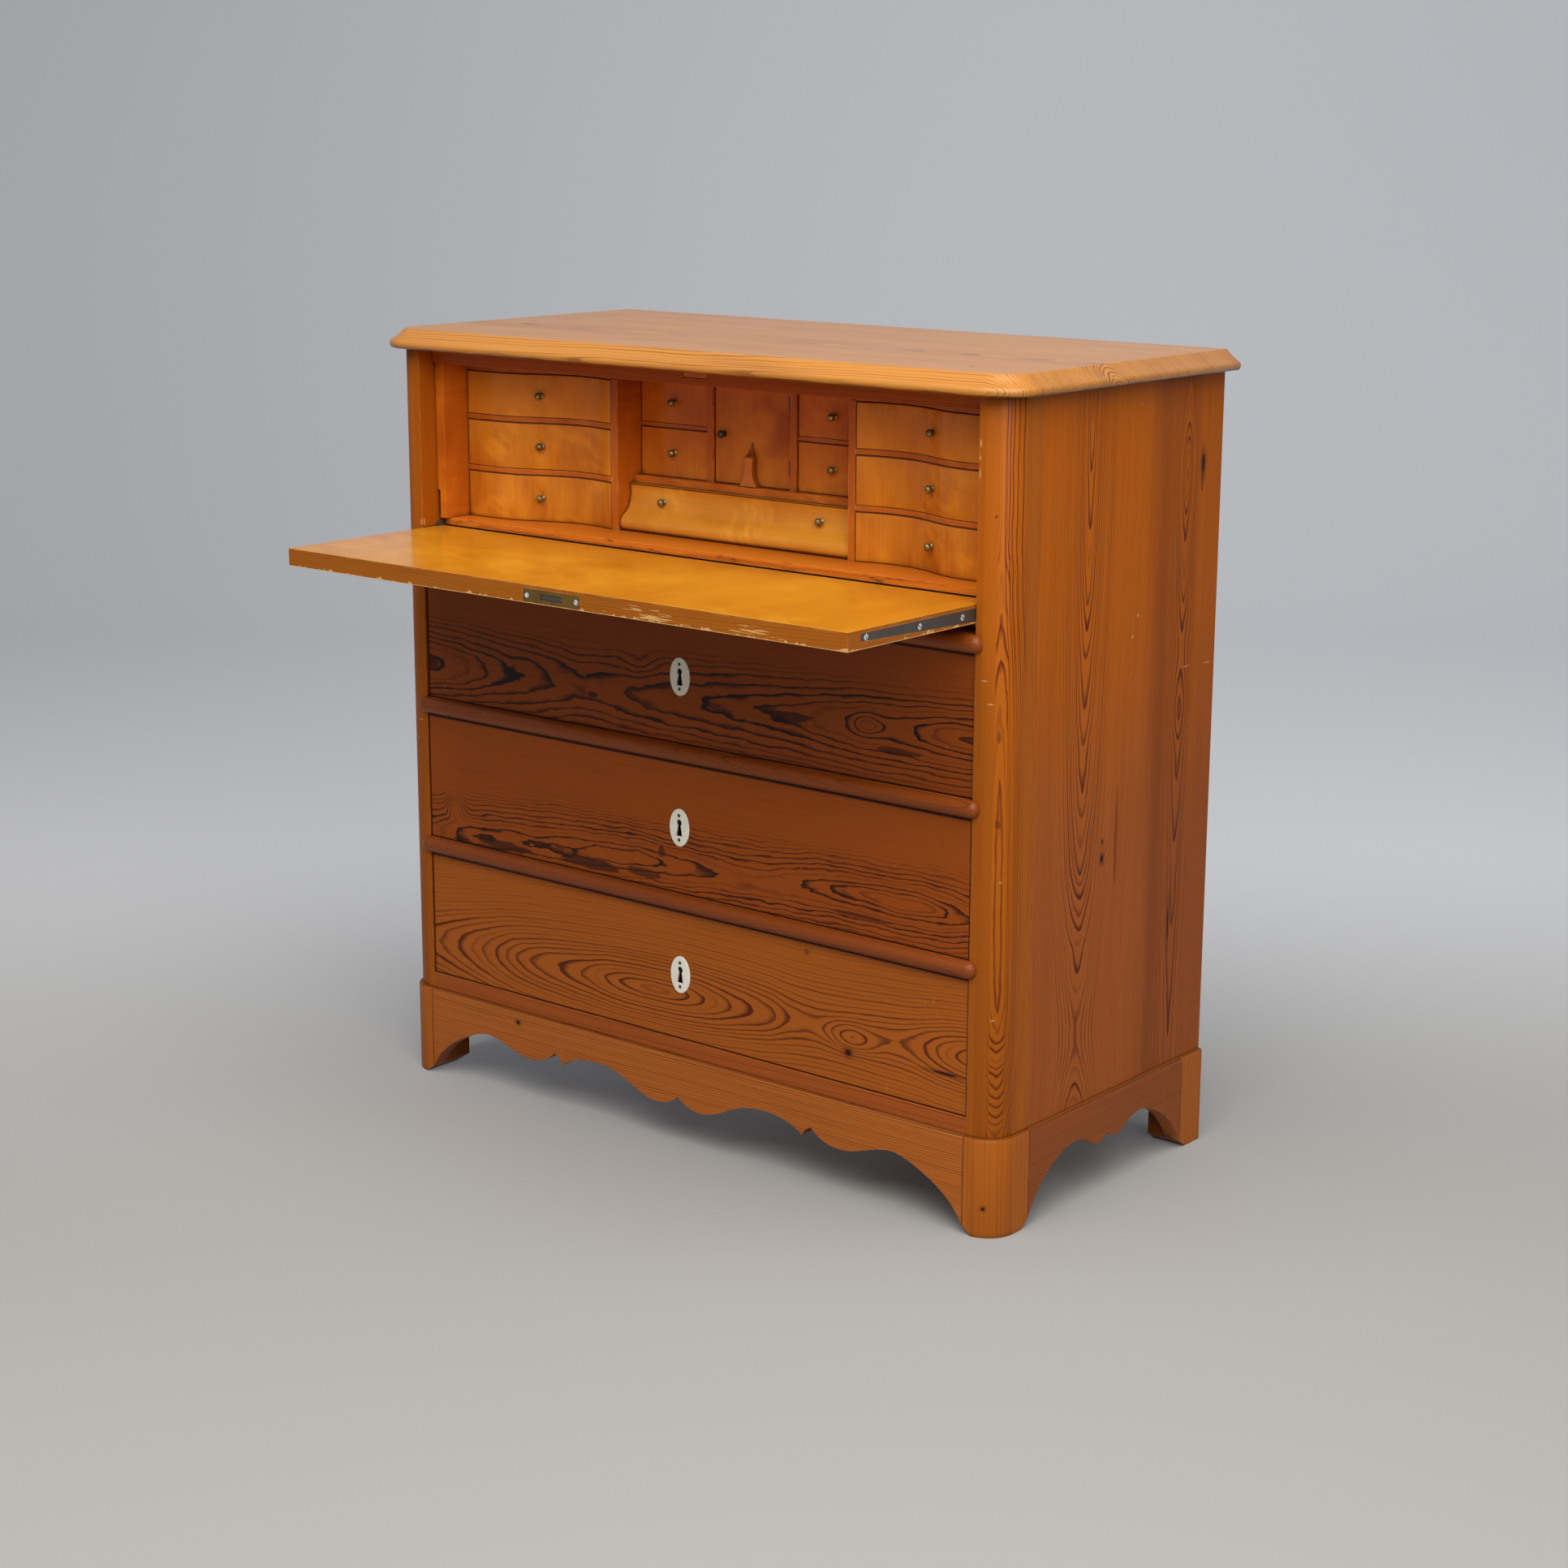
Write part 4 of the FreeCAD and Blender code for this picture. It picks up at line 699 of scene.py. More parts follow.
def birch(name, light, dark, fibres, red=None, polish=0.4, flame=0.3, wear=0.3, cloudy=0.5,
          seams=(), size=1.0, upper=None):
    """Polished birch: soft clouds, fine streaks along the grain, and patches of flame across it,
    with painted light high up when upper is given.
    """
    made = Finish(name)
    axis = {"x": made.x, "y": made.y, "z": made.z}
    made.lay(*(axis[letter] for letter in fibres))
    cloud = made.grain(8.0 * size, 16.0 * size, 3.0, 0.55)
    patch = made.grain(13.0 * size, 10.0 * size, 1.0).step(0.5, 0.64)
    ripple = made.vector(made.along * (75.0 * size) + made.across * (30.0 * size),
                         made.across * (34.0 * size), made.into * (10.0 * size))
    ripple = ripple.noise(1.0).step(0.3, 0.75)
    streak = made.grain(9.0, 210.0, 3.0, 0.6)
    fibre = made.grain(50.0, 1400.0, 1.0)
    value = 0.5 + (cloud - 0.5) * (2.2 * cloudy) + (streak - 0.5) * 0.3 + (fibre - 0.5) * 0.15
    colour = (value - patch * ripple * flame).held().mix(light, dark)
    if red:
        colour = (made.place.noise(14.0).step(0.4, 0.6) * made.x.step(-0.004, 0.004)
                  * made.z.step(0.80, 0.86) * 0.6).mix(colour, red)
    # Painted light: high up the colour turns towards upper, lighter, against the shade under the top
    # rail
    if upper:
        colour = (made.z.step(0.82, 0.95) * 0.75).mix(colour, upper)
    speck = made.place.noise(330.0, 0.0).step(0.81, 0.85)
    colour = (speck * 0.4).mix(colour, dark)
    seam = None
    # Painted shade in the gaps round the small drawers' fronts, on faces that look to the front
    if seams:
        places = {"x": abs(made.x), "z": made.z}
        lines = made.seam(*((places[letter], place, reach) for letter, place, reach in seams))
        seam = lines * made.facing()
    return varnished(made, colour, streak * 0.6 + fibre * 0.4, polish, 0.36, wear, seam=seam,
                     gap=paint(64, 26, 7), gloss=glossy)


# The carved ornament's plain foot, from its lowest point up to where its hollow spire starts
ornament_foot = 0.035


def carved_birch():
    """The ornament: bright on its flat front, with painted shade on the flanks that meet the door
    and on its spire.
    """
    made = Finish("carving_birch")
    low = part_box("door_ornament")[0]
    cloud = made.vector(made.x * 160.0, made.y * 160.0, made.z * 60.0).noise(1.0, 3.0)
    colour = cloud.mix(paint(216, 126, 36), paint(168, 80, 18))
    # Painted shade: darker on the flanks towards the door, and on the spire
    flank = (made.y - low.y).step(0.0012, 0.0034)
    spire = made.z.step(low.z + ornament_foot - 0.002, low.z + ornament_foot + 0.002)
    shade = (flank * 0.6).larger(spire * (0.25 + flank * 0.4))
    colour = shade.mix(colour, paint(92, 36, 10))
    return varnished(made, colour, cloud, 0.8, gloss=glossy)


# How far the painted shade reaches in the gaps round a small drawer's front
small_gap_above, small_gap_below, small_gap_beside = 0.0020, 0.0010, 0.0011


def seams_round(*drawers):
    """Where shade is painted in the gaps round the fronts of small drawers: above each, and beside
    them.
    """
    found = []
    for node in drawers:
        low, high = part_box(node)
        found += [("z", high.z, small_gap_above), ("z", low.z, small_gap_below),
                  ("x", high.x, small_gap_beside), ("x", low.x, small_gap_beside)]
    return sorted(set(found))


def bare_pine(name, light, dark, fibres):
    """Unfinished softwood for what stays inside: pale, dry, with faint rings."""
    made = Finish(name)
    axis = {"x": made.x, "y": made.y, "z": made.z}
    made.lay(*(axis[letter] for letter in fibres))
    slow = made.grain(3.0, 9.0) - 0.5
    part = ((made.across + made.into * 0.4 + slow * 0.05) / (2 * ring_width)).math("FRACT")
    late = part.step(0.3, 0.9) * (1.0 - part.step(0.92, 1.0))
    fibre = made.grain(20.0, 900.0)
    value = (late * 0.45 + (fibre - 0.4) * 0.5).held()
    dust = made.place.noise(12.0, 4.0)
    colour = (dust.step(0.4, 0.8) * 0.25).mix(value.mix(light, dark), paint(120, 90, 62))
    # Painted shade in corners and gaps
    colour = (made.hollow(0.006).step(0.3, 0.85) * 0.8).mix(colour, shade_and_grime)
    made.set(Base_Color=colour, Roughness=0.62 + (fibre - 0.5) * 0.2, Specular_IOR_Level=0.3,
             Normal=made.bump(fibre, 0.15, 0.0004))
    return made.material


def iron(name, light, dark, shine):
    """Wrought iron: dull grey, faintly mottled, brown where it has rusted."""
    made = Finish(name)
    cloud = made.place.noise(45.0, 4.0, 0.6)
    fine = made.place.noise(900.0, 3.0, 0.6)
    rust = made.place.noise(140.0, 3.0).step(0.56, 0.75)
    colour = (rust * 0.4).mix(cloud.mix(dark, light), paint(78, 52, 36))
    # Painted shade in its hollows and where it meets other pieces
    colour = (made.hollow(0.004).step(0.5, 0.95) * 0.85).mix(colour, shade_and_grime)
    made.set(Base_Color=colour, Metallic=shine - rust * 0.3, Roughness=0.42 + (fine - 0.5) * 0.3,
             Normal=made.bump(cloud * 0.6 + fine * 0.4, 0.2, 0.0003))
    return made.material


def bright_steel():
    """Screws: plain steel, a little worn, with painted shade in the slots."""
    made = Finish("screw_steel")
    fine = made.place.noise(1500.0)
    cloud = made.place.noise(300.0)
    colour = cloud.mix(paint(200, 200, 200), paint(238, 238, 236))
    # Painted shade in the slots and where the head meets the wood
    colour = (made.hollow(0.003).step(0.3, 0.6) * 0.95).mix(colour, shade_and_grime)
    made.set(Base_Color=colour, Metallic=0.55, Roughness=0.3 + (fine - 0.5) * 0.2,
             Normal=made.bump(fine, 0.1, 0.0002))
    return made.material


def old_brass(name, light, dark, scale):
    """Brass: painted shade in the hollows, and worn on the rounds."""
    made = Finish(name)
    cloud = made.place.noise(scale, 3.0, 0.55)
    fine = made.place.noise(1600.0)
    value = cloud.step(0.35, 0.68)
    # Painted shade in the hollows, where the knob meets the wood and round its foot
    colour = (made.hollow(0.005).step(0.45, 0.9) * 0.85).mix(value.mix(light, dark), shade_and_grime)
    made.set(Base_Color=colour, Metallic=0.8 - value * 0.25,
             Roughness=0.28 + value * 0.16 + (fine - 0.5) * 0.16,
             Normal=made.bump(cloud * 0.7 + fine * 0.3, 0.2, 0.0002))
    return made.material


def bone():
    """Polished bone: white, faintly streaked along its length, with a soft gloss."""
    made = Finish("keyhole_bone")
    streak = made.vector(made.x * 900.0, made.y * 900.0, made.z * 60.0).noise(1.0, 3.0)
    cloud = made.place.noise(90.0, 3.0)
    colour = cloud.mix(paint(248, 244, 228), paint(234, 225, 204))
    colour = (streak.step(0.5, 0.75) * 0.3).mix(colour, paint(200, 190, 170))
    rim = made.arris(0.0012).step(0.15, 0.5)
    colour = (rim * 0.4).mix(colour, paint(130, 102, 66))
    made.set(Base_Color=colour, Roughness=0.38 + (cloud - 0.5) * 0.2, Specular_IOR_Level=0.45,
             Coat_Weight=0.35, Coat_Roughness=0.25, Normal=made.bump(streak, 0.06, 0.0002))
    return made.material


def make_finishes():
    """Every finish, by the name that dress() and the new pieces give it."""
    return {
        "post": post_pine(), "side": side_pine(), "top": top_pine(), "floor": floor_pine(),
        "front_bottom": front_bottom(), "front_middle": front_middle(), "front_top": front_top(),
        "flap": flap_pine(),
        "apron": plinth_pine("apron_pine", paint(180, 98, 35), paint(76, 31, 10), 0.003, 0.95,
                             False),
        "block": plinth_pine("block_pine", paint(174, 93, 22), paint(110, 50, 12), 0.009, 0.4,
                             True),
        "rail": level_pine("rail_pine", paint(162, 80, 26), paint(84, 34, 10), (0.3, 0.0), 0.09),
        "top_rail": top_rail_pine(),
        "nosing": level_pine("nosing_pine", paint(134, 63, 18), paint(66, 27, 9), (0.42, 0.0),
                             0.12, line=0.3, wear=0.8, polish=0.34, gloss=0.24),
        "bare": bare_pine("bare_pine", paint(204, 158, 104), paint(158, 106, 56), "zxy"),
        "bare_box": bare_pine("bare_pine_box", paint(206, 162, 108), paint(164, 114, 62), "yxz"),
        "inside": birch("inside_birch", paint(214, 118, 26), paint(150, 62, 10), "zxy", wear=0.7),
        # The bank is painted lighter high up (upper): painted light on its top row
        "bank": birch("bank_birch", paint(228, 144, 36), paint(164, 78, 15), "zxy", cloudy=0.8,
                      flame=0.4, upper=paint(238, 152, 46),
                      seams=seams_round("drawer_right_lower", "drawer_right_middle",
                                        "drawer_right_upper")),
        "centre": birch("centre_birch", paint(230, 138, 36), paint(166, 74, 15), "zxy",
                        seams=seams_round("drawer_centre_right_lower",
                                          "drawer_centre_right_upper")),
        "wide": birch("wide_birch", paint(236, 162, 52), paint(184, 104, 26), "xzy", flame=0.4,
                      seams=seams_round("drawer_centre_wide")),
        "door": birch("door_birch", paint(228, 140, 36), paint(160, 74, 15), "zxy", flame=0.15,
                      red=paint(150, 58, 14), seams=seams_round("door_panel")),
        "carving": carved_birch(),
        "leaf": birch("leaf_birch", paint(210, 142, 32), paint(174, 98, 10), "yxz", polish=0.6,
                      flame=0.35, size=0.5, cloudy=0.6, wear=0.0),
        "iron": iron("wrought_iron", paint(94, 88, 82), paint(62, 57, 52), 0.45),
        "black_iron": iron("black_iron", paint(92, 76, 58), paint(52, 42, 32), 0.5),
        "steel": bright_steel(),
        "brass": old_brass("knob_brass", paint(164, 142, 88), paint(84, 70, 42), 220.0),
        "plate_brass": old_brass("plate_brass", paint(138, 108, 52), paint(100, 74, 32), 50.0),
        "bone": bone(),
    }


bank_names = {"bottom": "lower", "middle": "middle", "top": "upper"}


def dress():
    """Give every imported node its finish."""
    table = {
        "top_board": "top", "corner_posts": "post", "side_boards": "side", "back_boards": "bare",
        "plinth_aprons": "apron", "plinth_corner_blocks": "block", "drawer_rails": "rail",
        "rail_nosings": "nosing", "drawer_runners": "bare_box", "top_rail": "top_rail",
        "interior_floor": "floor", "interior_linings": "inside", "interior_partitions": "inside",
        "fixed_hinge_irons": "iron", "flap_board": "flap", "flap_veneer": "leaf",
        "flap_straps": "iron", "flap_lock": "plate_brass", "flap_bolt": "iron",
        "flap_keyhole_plate": "bone", "door_panel": "door", "door_fittings": "black_iron",
        "door_ornament": "carving", "drawer_centre_wide": "wide", "knobs_centre_wide": "brass",
    }
    for level, row in bank_names.items():
        table["drawer_%s_front" % level] = "front_" + level
        table["drawer_%s_box" % level] = "bare_box"
        table["drawer_%s_keyhole_plate" % level] = "bone"
        table["drawer_%s_lock" % level] = "black_iron"
        table["drawer_%s_bolt" % level] = "black_iron"
        for side in ("left", "right"):
            table["drawer_%s_%s" % (side, row)] = "bank"
            table["knob_%s_%s" % (side, row)] = "brass"
    for side in ("left", "right"):
        for row in ("lower", "upper"):
            table["drawer_centre_%s_%s" % (side, row)] = "centre"
            table["knob_centre_%s_%s" % (side, row)] = "brass"
    for node, kind in table.items():
        obj = nodes[node]
        obj.data.materials.clear()
        obj.data.materials.append(finishes[kind])


def grid_object(name, points, wrap_u=False, wrap_v=False):
    """A smooth mesh over a grid of points, with a face between each four neighbours."""
    rows, columns = points.shape[:2]
    index = np.arange(rows * columns).reshape(rows, columns)
    if wrap_u:
        index = np.concatenate((index, index[:1]), axis=0)
    if wrap_v:
        index = np.concatenate((index, index[:, :1]), axis=1)
    faces = np.stack((index[:-1, :-1], index[1:, :-1], index[1:, 1:], index[:-1, 1:]), axis=-1)
    mesh = bpy.data.meshes.new(name)
    mesh.from_pydata(points.reshape(-1, 3).tolist(), [], faces.reshape(-1, 4).tolist())
    mesh.polygons.foreach_set("use_smooth", np.full(len(mesh.polygons), True))
    mesh.update()
    obj = bpy.data.objects.new(name, mesh)
    bpy.context.scene.collection.objects.link(obj)
    return obj


merge_reach = 1e-6


def close(obj):
    """Merge the doubles of a wrapped grid at its seams and poles, and point its faces outwards."""
    form = bmesh.new()
    form.from_mesh(obj.data)
    bmesh.ops.remove_doubles(form, verts=form.verts, dist=merge_reach)
    bmesh.ops.recalc_face_normals(form, faces=form.faces)
    form.to_mesh(obj.data)
    form.free()
    return obj


def stand_in(obj, node, finish):
    """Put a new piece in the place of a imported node."""
    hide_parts(node)
    fitted(obj, nodes[node]["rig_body"], finish)


def fitted(obj, body, finish):
    """Give a new piece its finish and the body that carries it."""
    obj.data.materials.append(finishes[finish])
    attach(obj, body)


# Turned brass knob: a tail in the front, a foot, a stem and a flattened ball
knob_tail = 0.008
knob_tail_radius = 0.0015
knob_foot_radius = 0.0040
knob_foot_thickness = 0.0010
knob_stem_radius = 0.0019
knob_ball_radius = 0.0048
knob_reach = 0.011
knob_ball_depth_share = 0.88
knob_sides = 28


def knob_points(centre):
    """The knob's outline, turned about a line that runs to the front.

    The foot's rim and the stem are short curves. The ball is an arc of angle a: its distance
    ahead is the ball's middle less cosine a, its radius sine a, times the ball's radius.
    """
    depth = knob_ball_radius * knob_ball_depth_share
    middle = knob_reach - depth
    arc = np.linspace(math.radians(24), math.pi, 14)
    ahead = np.concatenate(([-knob_tail, -knob_tail, 0, 0, knob_foot_thickness * 0.6,
                             knob_foot_thickness, knob_foot_thickness * 1.6,
                             middle - depth * 1.1], middle - depth * np.cos(arc)))
    radius = np.concatenate(([0, knob_tail_radius, knob_tail_radius, knob_foot_radius,
                              knob_foot_radius, knob_foot_radius * 0.86,
                              knob_stem_radius * 1.15, knob_stem_radius],
                             knob_ball_radius * np.sin(arc)))
    turn = np.linspace(0, 2 * math.pi, knob_sides, endpoint=False)
    return np.stack((centre[0] + radius * np.cos(turn)[:, None],
                     centre[1] - ahead + 0 * turn[:, None],
                     centre[2] + radius * np.sin(turn)[:, None]), axis=-1)


def make_knobs():
    """Each packed knob's place takes a turned one; the wide drawer's node holds two."""
    for node in sorted(nodes):
        if not node.startswith("knob"):
            continue
        low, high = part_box(node)
        middle = (low + high) / 2
        places = {"turned_" + node: middle.x}
        if node == "knobs_centre_wide":
            half = (high.x - low.x) / 2 - knob_ball_radius
            places = {node + "_left": -half, node + "_right": half}
        knobs = [close(grid_object(name, knob_points((x, low.y + knob_reach, middle.z)),
                                   wrap_u=True))
                 for name, x in places.items()]
        stand_in(knobs[0], node, "brass")
        for knob in knobs[1:]:
            fitted(knob, nodes[node]["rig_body"], "brass")


# Bone keyhole plate
plate_half_width = 0.0155
plate_half_height = 0.02375
plate_thickness = 0.0028
plate_proud = 0.0016
plate_crown = 0.0002
plate_inset = 0.0008
plate_pin_spread = 0.0153
plate_pin_radius = 0.0023
plate_pin_dome = 0.0004
plate_sides = 96
plate_pin_sides = 16
key_eye_rise = 0.0062
key_eye_radius = 0.0042
key_slot_drop = 0.0170
key_neck_half = 0.0020
key_flare_half = 0.0050
key_middle_drop = 0.0050
plate_ring_shares = [0.0, 0.04, 0.2, 0.4, 0.6, 0.8, 0.93, 0.985, 1.0]
pin_ring_shares = [0.0, 0.35, 0.65, 0.88, 1.0, 1.0]
least_share = 1e-4


def keyhole_outline(turn):
    """How far the keyhole's edge lies from its middle, at each angle from the level.

    The middle lies in the slot, below the eye. The edge is the further of the eye's circle and
    the slot, which widens from the neck to its foot.
    """
    c, s = np.cos(turn), np.sin(turn)
    rise = key_middle_drop
    across = np.clip(key_eye_radius ** 2 - (rise * c) ** 2, 0, None)
    circle = np.where(across > 0, rise * s + np.sqrt(across), 0)
    widen = (key_flare_half - key_neck_half) / key_slot_drop
    half = key_neck_half + widen * key_middle_drop
    flank = half / np.maximum(np.abs(c) + widen * s, least_share)
    foot = (key_slot_drop - key_middle_drop) / np.maximum(-s, least_share)
    head = rise / np.maximum(s, least_share)
    slot = np.minimum(np.minimum(flank, foot), head)
    return np.maximum(circle, slot)


def plate_points():
    """Rings from the keyhole's edge out to the oval's rim, then back under the plate.

    A point is the keyhole's edge mixed with the rim by the ring's share. The front stands proud
    by a crown that falls with the square of the share and drops over the rim.
    """
    turn = np.linspace(0, 2 * math.pi, plate_sides, endpoint=False) + math.pi / plate_sides
    reach = keyhole_outline(turn)
    hole = np.stack((reach * np.cos(turn),
                     reach * np.sin(turn) + key_eye_rise - key_middle_drop), axis=-1)
    rim = np.stack((plate_half_width * np.cos(turn), plate_half_height * np.sin(turn)), axis=-1)
    share = np.array(plate_ring_shares + [1.0, 0.0])
    front = plate_proud - plate_crown * share[:-2] ** 2
    front[0] -= plate_crown * 0.6
    front[-1] = plate_proud * 0.1
    out = np.concatenate((front, [plate_proud - plate_thickness] * 2))
    flat = hole[:, None] + (rim - hole)[:, None] * share[None, :, None]
    return flat[..., 0], flat[..., 1], out + 0 * turn[:, None]


def pin_points():
    """A low dome: rings whose height over the plate falls with the square of their radius."""
    share = np.array(pin_ring_shares)
    turn = np.linspace(0, 2 * math.pi, plate_pin_sides, endpoint=False)
    out = plate_proud + plate_pin_dome * (1 - share ** 2)
    out[-1] = plate_proud - plate_pin_dome * 2
    reach = plate_pin_radius * share
    return (reach * np.cos(turn)[:, None], reach * np.sin(turn)[:, None],
            out + 0 * turn[:, None])


def make_keyhole_plates():
    """Each plate lies on its front, or under the flap, with a pin above and below its keyhole."""
    plate_names = ["drawer_%s_keyhole_plate" % level for level in bank_names]
    for node in plate_names + ["flap_keyhole_plate"]:
        low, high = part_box(node)
        middle = (low + high) / 2
        under_flap = node == "flap_keyhole_plate"

        def laid(across, up, out):
            if under_flap:
                return np.stack((middle.x + across, middle.y + up, low.z + plate_inset - out),
                                axis=-1)
            return np.stack((middle.x + across, low.y + plate_inset - out, middle.z + up), axis=-1)

        across, up, out = plate_points()
        if under_flap:
            up = -up
        plate = close(grid_object("crowned_" + node, laid(across, up, out), wrap_u=True,
                                  wrap_v=True))
        stand_in(plate, node, "bone")
        for place, rise in (("upper", plate_pin_spread), ("lower", -plate_pin_spread)):
            across, up, out = pin_points()
            pin = close(grid_object("%s_pin_of_%s" % (place, node), laid(across, up + rise, out),
                                    wrap_u=True))
            fitted(pin, nodes[node]["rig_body"], "black_iron")


# Slotted screws: their places on the flap, seen on the right end and on the front edge, each with
# the turn of its slot in degrees
strap_screw_radius = 0.0042
plate_screw_radius = 0.0036
screw_dome = 0.0007
screw_slot_half = 0.00055
screw_slot_depth = 0.0007
strap_screws = [(-0.3036, 0.7307, 25), (-0.2091, 0.7284, 55), (-0.1311, 0.7277, 60)]
lock_screws = [(-0.0295, 0.7268, 40), (0.0475, 0.7268, 65)]
strap_stand = 0.0003


def screw_points(radius, angle):
    """A domed head with a straight slot, as chords across the head.

    The chord at share u of the radius has a half length of the root of 1 less u squared. The dome
    falls with the square of the distance from the middle, and the chords in the slot lie deeper.
    """
    slot = screw_slot_half / radius
    u = np.concatenate((-np.cos(np.linspace(0, math.pi / 2, 7))[:-1] * (1 - slot) - slot,
                        [-slot * 1.02, -slot, -slot * 0.98, slot * 0.98, slot, slot * 1.02]))
    u = np.concatenate((u, -u[:6][::-1]))
    v = np.sin(np.linspace(-math.pi / 2, math.pi / 2, 13))
    a = u[:, None] + 0 * v
    b = np.sqrt(np.clip(1 - u ** 2, 0, None))[:, None] * v
    out = screw_dome * (1 - 0.8 * (a ** 2 + b ** 2))
    out = np.where(np.abs(a) < slot, out - screw_slot_depth, out)
    turn = math.radians(angle)
    across = radius * (a * math.cos(turn) - b * math.sin(turn))
    up = radius * (a * math.sin(turn) + b * math.cos(turn))
    return across, up, out


def make_screws():
    """Three screws through each strap, and two through the lock's plate."""
    low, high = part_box("flap_straps")
    for side, face, sign in (("left", low.x, -1), ("right", high.x, 1)):
        for number, (y, z, angle) in enumerate(strap_screws, 1):
            across, up, out = screw_points(strap_screw_radius, angle)
            points = np.stack((face + sign * (out - strap_stand), y + sign * across, z + up),
                              axis=-1)
            fitted(close(grid_object("strap_screw_%s_%d" % (side, number), points)), "flap",
                   "steel")
    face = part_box("flap_lock")[0].y
    for number, (x, z, angle) in enumerate(lock_screws, 1):
        across, up, out = screw_points(plate_screw_radius, angle)
        points = np.stack((x + across, face - out + strap_stand, z + up), axis=-1)
        fitted(close(grid_object("lock_screw_%d" % number, points)), "flap", "steel")


# Carved ornament: a flat pillar that spreads at its foot, under a hollow spire. A station gives
# the height, half width and depth as shares of the whole.
station_shares = [(0.0, 1.0, 1.0), (0.03, 0.97, 1.0), (0.08, 0.84, 0.98), (0.14, 0.68, 0.94),
                  (0.24, 0.53, 0.90), (0.36, 0.48, 0.88), (0.48, 0.49, 0.88),
                  (0.58, 0.54, 0.90), (0.645, 0.60, 0.92), (0.66, 0.60, 0.90),
                  (0.67, 0.55, 0.82), (0.71, 0.40, 0.64), (0.77, 0.26, 0.46),
                  (0.84, 0.16, 0.32), (0.92, 0.10, 0.22), (0.985, 0.07, 0.16),
                  (1.0, 0.03, 0.08)]
section_shares = [(-1.0, 0.0), (-1.0, 0.45), (-0.98, 0.86), (-0.90, 0.98), (-0.6, 1.0),
                  (0.0, 1.0), (0.6, 1.0), (0.90, 0.98), (0.98, 0.86), (1.0, 0.45), (1.0, 0.0)]
ornament_crease = math.radians(32)


def make_ornament():
    """Cross-sections up the ornament: each is a box open at the door, with eased corners.

    A section's place across is its share times the half width of its station, and its place
    ahead is its share times the depth of its station.
    """
    low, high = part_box("door_ornament")
    station = np.array(station_shares)
    across, ahead = np.array(section_shares).T
    half, depth = (high.x - low.x) / 2, high.y - low.y
    x = (low.x + high.x) / 2 + half * station[:, 1:2] * across
    y = high.y - depth * station[:, 2:3] * ahead
    z = low.z + (high.z - low.z) * station[:, 0:1] + 0 * across
    points = np.stack((x, y, z), axis=-1)
    foot = points.mean(axis=1, keepdims=True)[:1] + 0 * points[:1]
    tip = points.mean(axis=1, keepdims=True)[-1:] + 0 * points[-1:]
    points = np.concatenate((foot, points, tip))
    ornament = close(grid_object("carved_ornament", points, wrap_v=True))
    ornament.data.set_sharp_from_angle(angle=ornament_crease)
    stand_in(ornament, "door_ornament", "carving")


# The studio
floor_size = 14.0
sweep_radius = 1.6
backdrop_height = 6.0
backdrop_distance = 3.4
dim_light = (0.09, 0.092, 0.1, 1.0)


def seen_straight(wire):
    """1 where the camera sees the surroundings, straight on, mirrored or through glass."""
    path = wire.node("ShaderNodeLightPath", {}, {}, "Is Camera Ray")
    seen = path + path.beside("Is Glossy Ray") + path.beside("Is Transmission Ray")
    return seen.math("MINIMUM", 1.0)


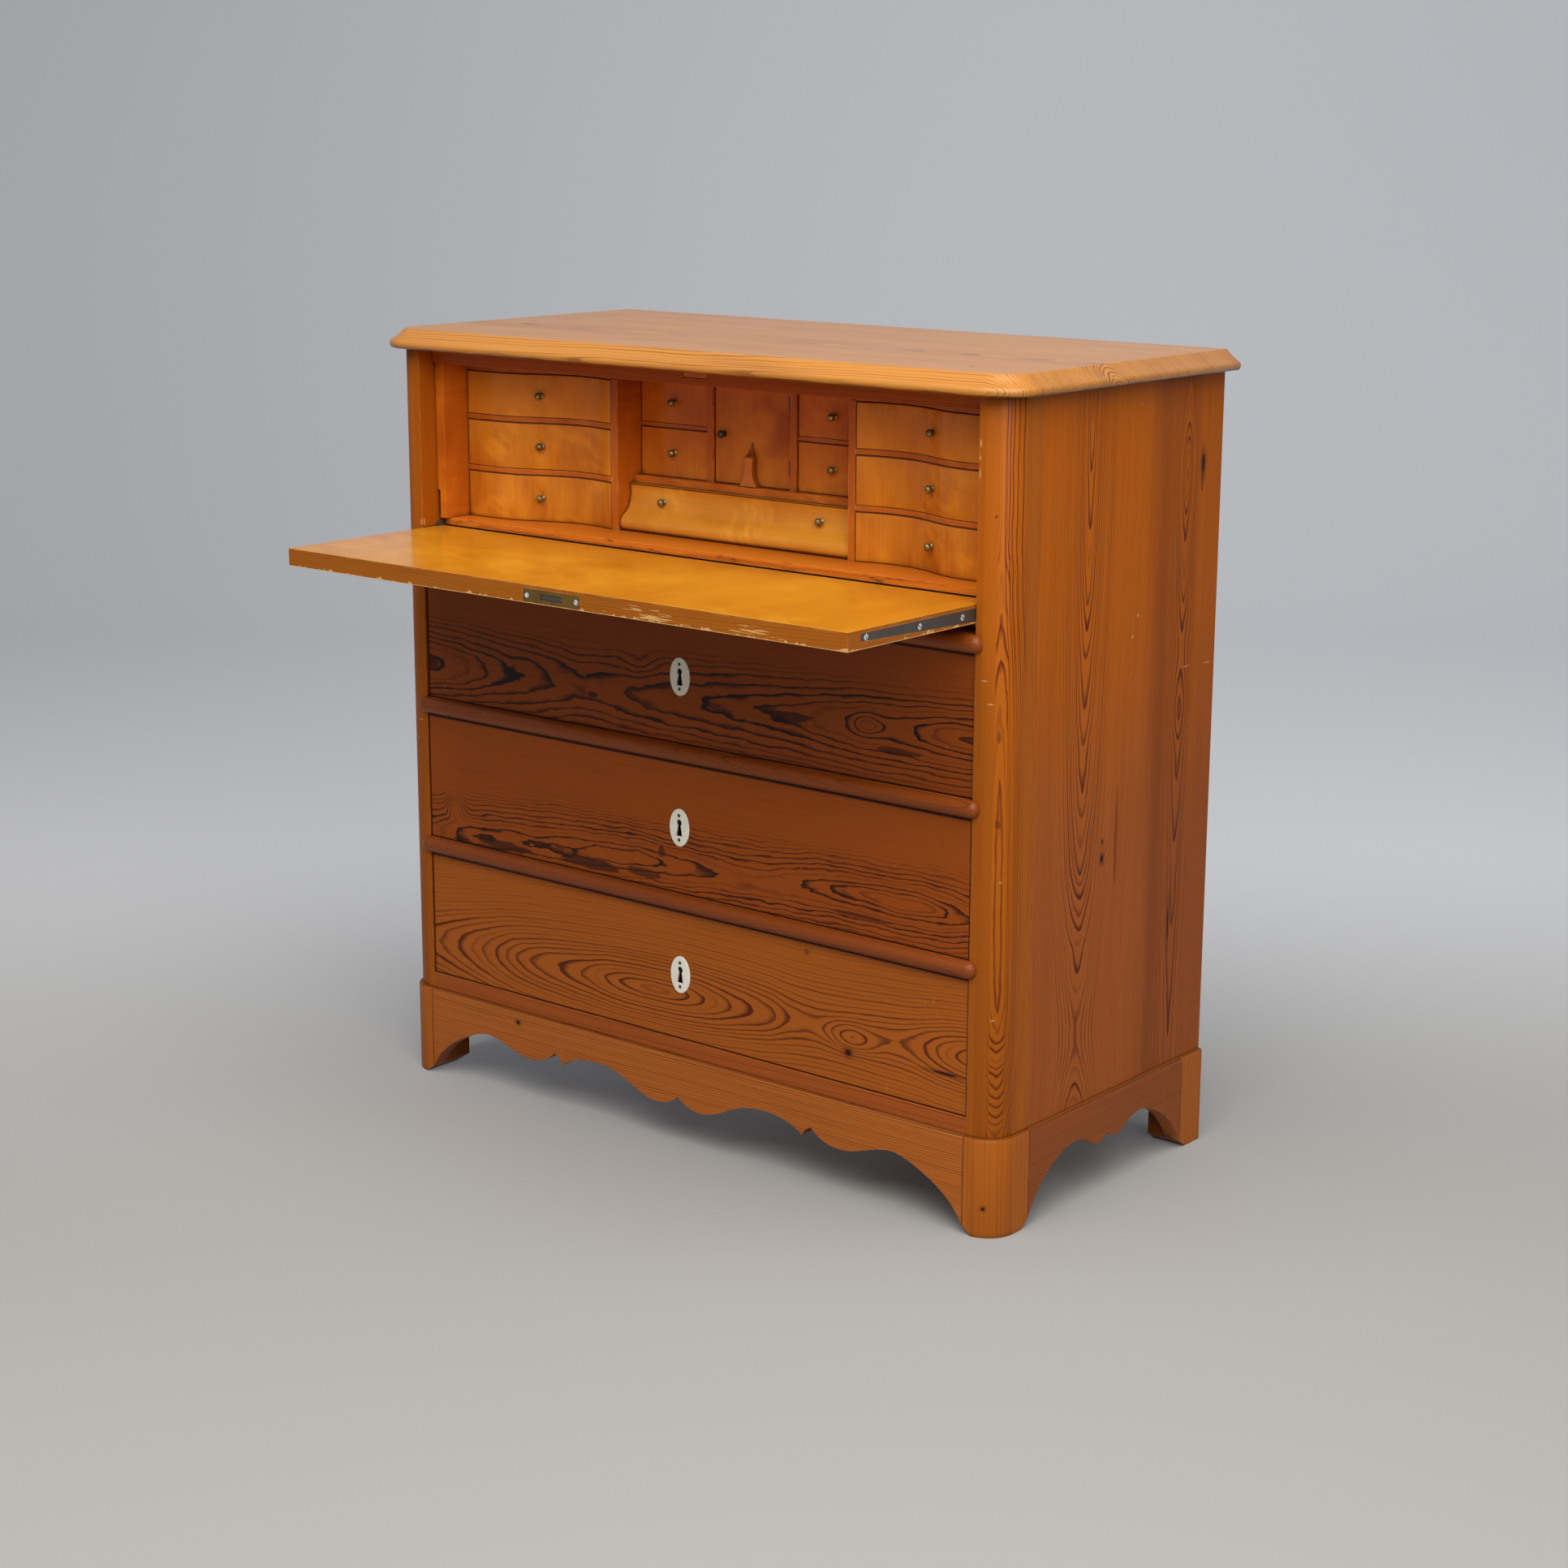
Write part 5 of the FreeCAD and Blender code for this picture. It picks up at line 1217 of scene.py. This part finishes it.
def make_stage():
    """A pale floor that sweeps up into a pale backdrop behind the piece.

    Its line is level, then a quarter circle (its run is the radius times the sine of the turn and
    its rise the radius times 1 less the cosine), then upright, and it is carried straight across.
    """
    across = np.array([-floor_size, floor_size])
    turn = np.linspace(0, math.pi / 2, 24)
    run = np.concatenate(([-floor_size], backdrop_distance + sweep_radius * np.sin(turn),
                          [backdrop_distance + sweep_radius]))
    rise = np.concatenate(([0.0], sweep_radius * (1 - np.cos(turn)), [backdrop_height]))
    away = np.array((-math.sin(view_turn), math.cos(view_turn)))
    side = np.array((math.cos(view_turn), math.sin(view_turn)))
    u, v = np.meshgrid(np.arange(len(across)), np.arange(len(run)), indexing="ij")
    points = np.stack((side[0] * across[u] + away[0] * run[v],
                       side[1] * across[u] + away[1] * run[v], rise[v]), axis=-1)
    sweep = grid_object("studio_sweep", points)
    made = Finish("studio_paper")
    # Painted light: far from the piece, where it is seen straight or mirrored, the paper glows,
    # brighter to the right than to the left
    behind = (made.y * away[1] + made.x * away[0]).step(-0.5, 1.5)
    radius = (made.x ** 2.0 + made.y ** 2.0).math("SQRT")
    distant = behind.larger(radius.step(2.2, 4.5))
    beside = (made.x * side[0] + made.y * side[1]).step(-2.4, 1.4)
    glow = beside.mix(paint(130, 132, 138), paint(152, 155, 162))
    glow = (seen_straight(made.x) * distant).mix(paint(0, 0, 0), glow)
    shade = made.place.noise(0.5, 1.0)
    made.set(Base_Color=shade.mix(paint(166, 164, 159), paint(159, 157, 153)), Roughness=0.8,
             Specular_IOR_Level=0.1, Emission_Color=glow, Emission_Strength=1.0)
    sweep.data.materials.append(made.material)


def soft_box(name, place, target, width, height, watts):
    """An area lamp that faces a target."""
    data = bpy.data.lights.new(name, "AREA")
    data.shape = "RECTANGLE"
    data.size = width
    data.size_y = height
    data.energy = watts
    lamp = bpy.data.objects.new(name, data)
    away = Vector(place) - Vector(target)
    lamp.matrix_world = Matrix.Translation(place) @ away.to_track_quat("Z", "Y").to_matrix().to_4x4()
    bpy.context.scene.collection.objects.link(lamp)


def make_light():
    """Two soft lamps, and a world that is dim for the piece and pale where it is seen."""
    world = bpy.data.worlds.new("studio")
    world.use_nodes = True
    background = world.node_tree.nodes["Background"]
    seen = seen_straight(Wire(world.node_tree, None))
    shown = seen.mix(dim_light, paint(172, 174, 179))
    world.node_tree.links.new(shown.socket, background.inputs["Color"])
    background.inputs["Strength"].default_value = 1.0
    bpy.context.scene.world = world
    soft_box("overhead", (0.9, -1.3, 3.2), (0.1, -0.2, 0.4), 4.2, 3.4, 190)
    soft_box("right_fill", (3.2, -2.2, 2.1), (0.2, 0.0, 0.5), 1.8, 1.8, 40)


edge_round = 0.0006
edge_segments = 2
edge_angle = math.radians(28)
flat_angle = math.radians(0.4)
weld_reach = 1e-5


def soften(obj):
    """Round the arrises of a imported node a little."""
    weld = obj.modifiers.new("weld", "WELD")
    weld.merge_threshold = weld_reach
    flat = obj.modifiers.new("flat", "DECIMATE")
    flat.decimate_type = "DISSOLVE"
    flat.angle_limit = flat_angle
    bevel = obj.modifiers.new("arris", "BEVEL")
    bevel.width = edge_round
    bevel.segments = edge_segments
    bevel.limit_method = "ANGLE"
    bevel.angle_limit = edge_angle


finishes = make_finishes()
dress()
for packed in nodes.values():
    soften(packed)
make_knobs()
make_keyhole_plates()
make_screws()
make_ornament()
make_stage()
make_light()
make_camera()

bpy.context.scene.view_settings.view_transform = "Standard"
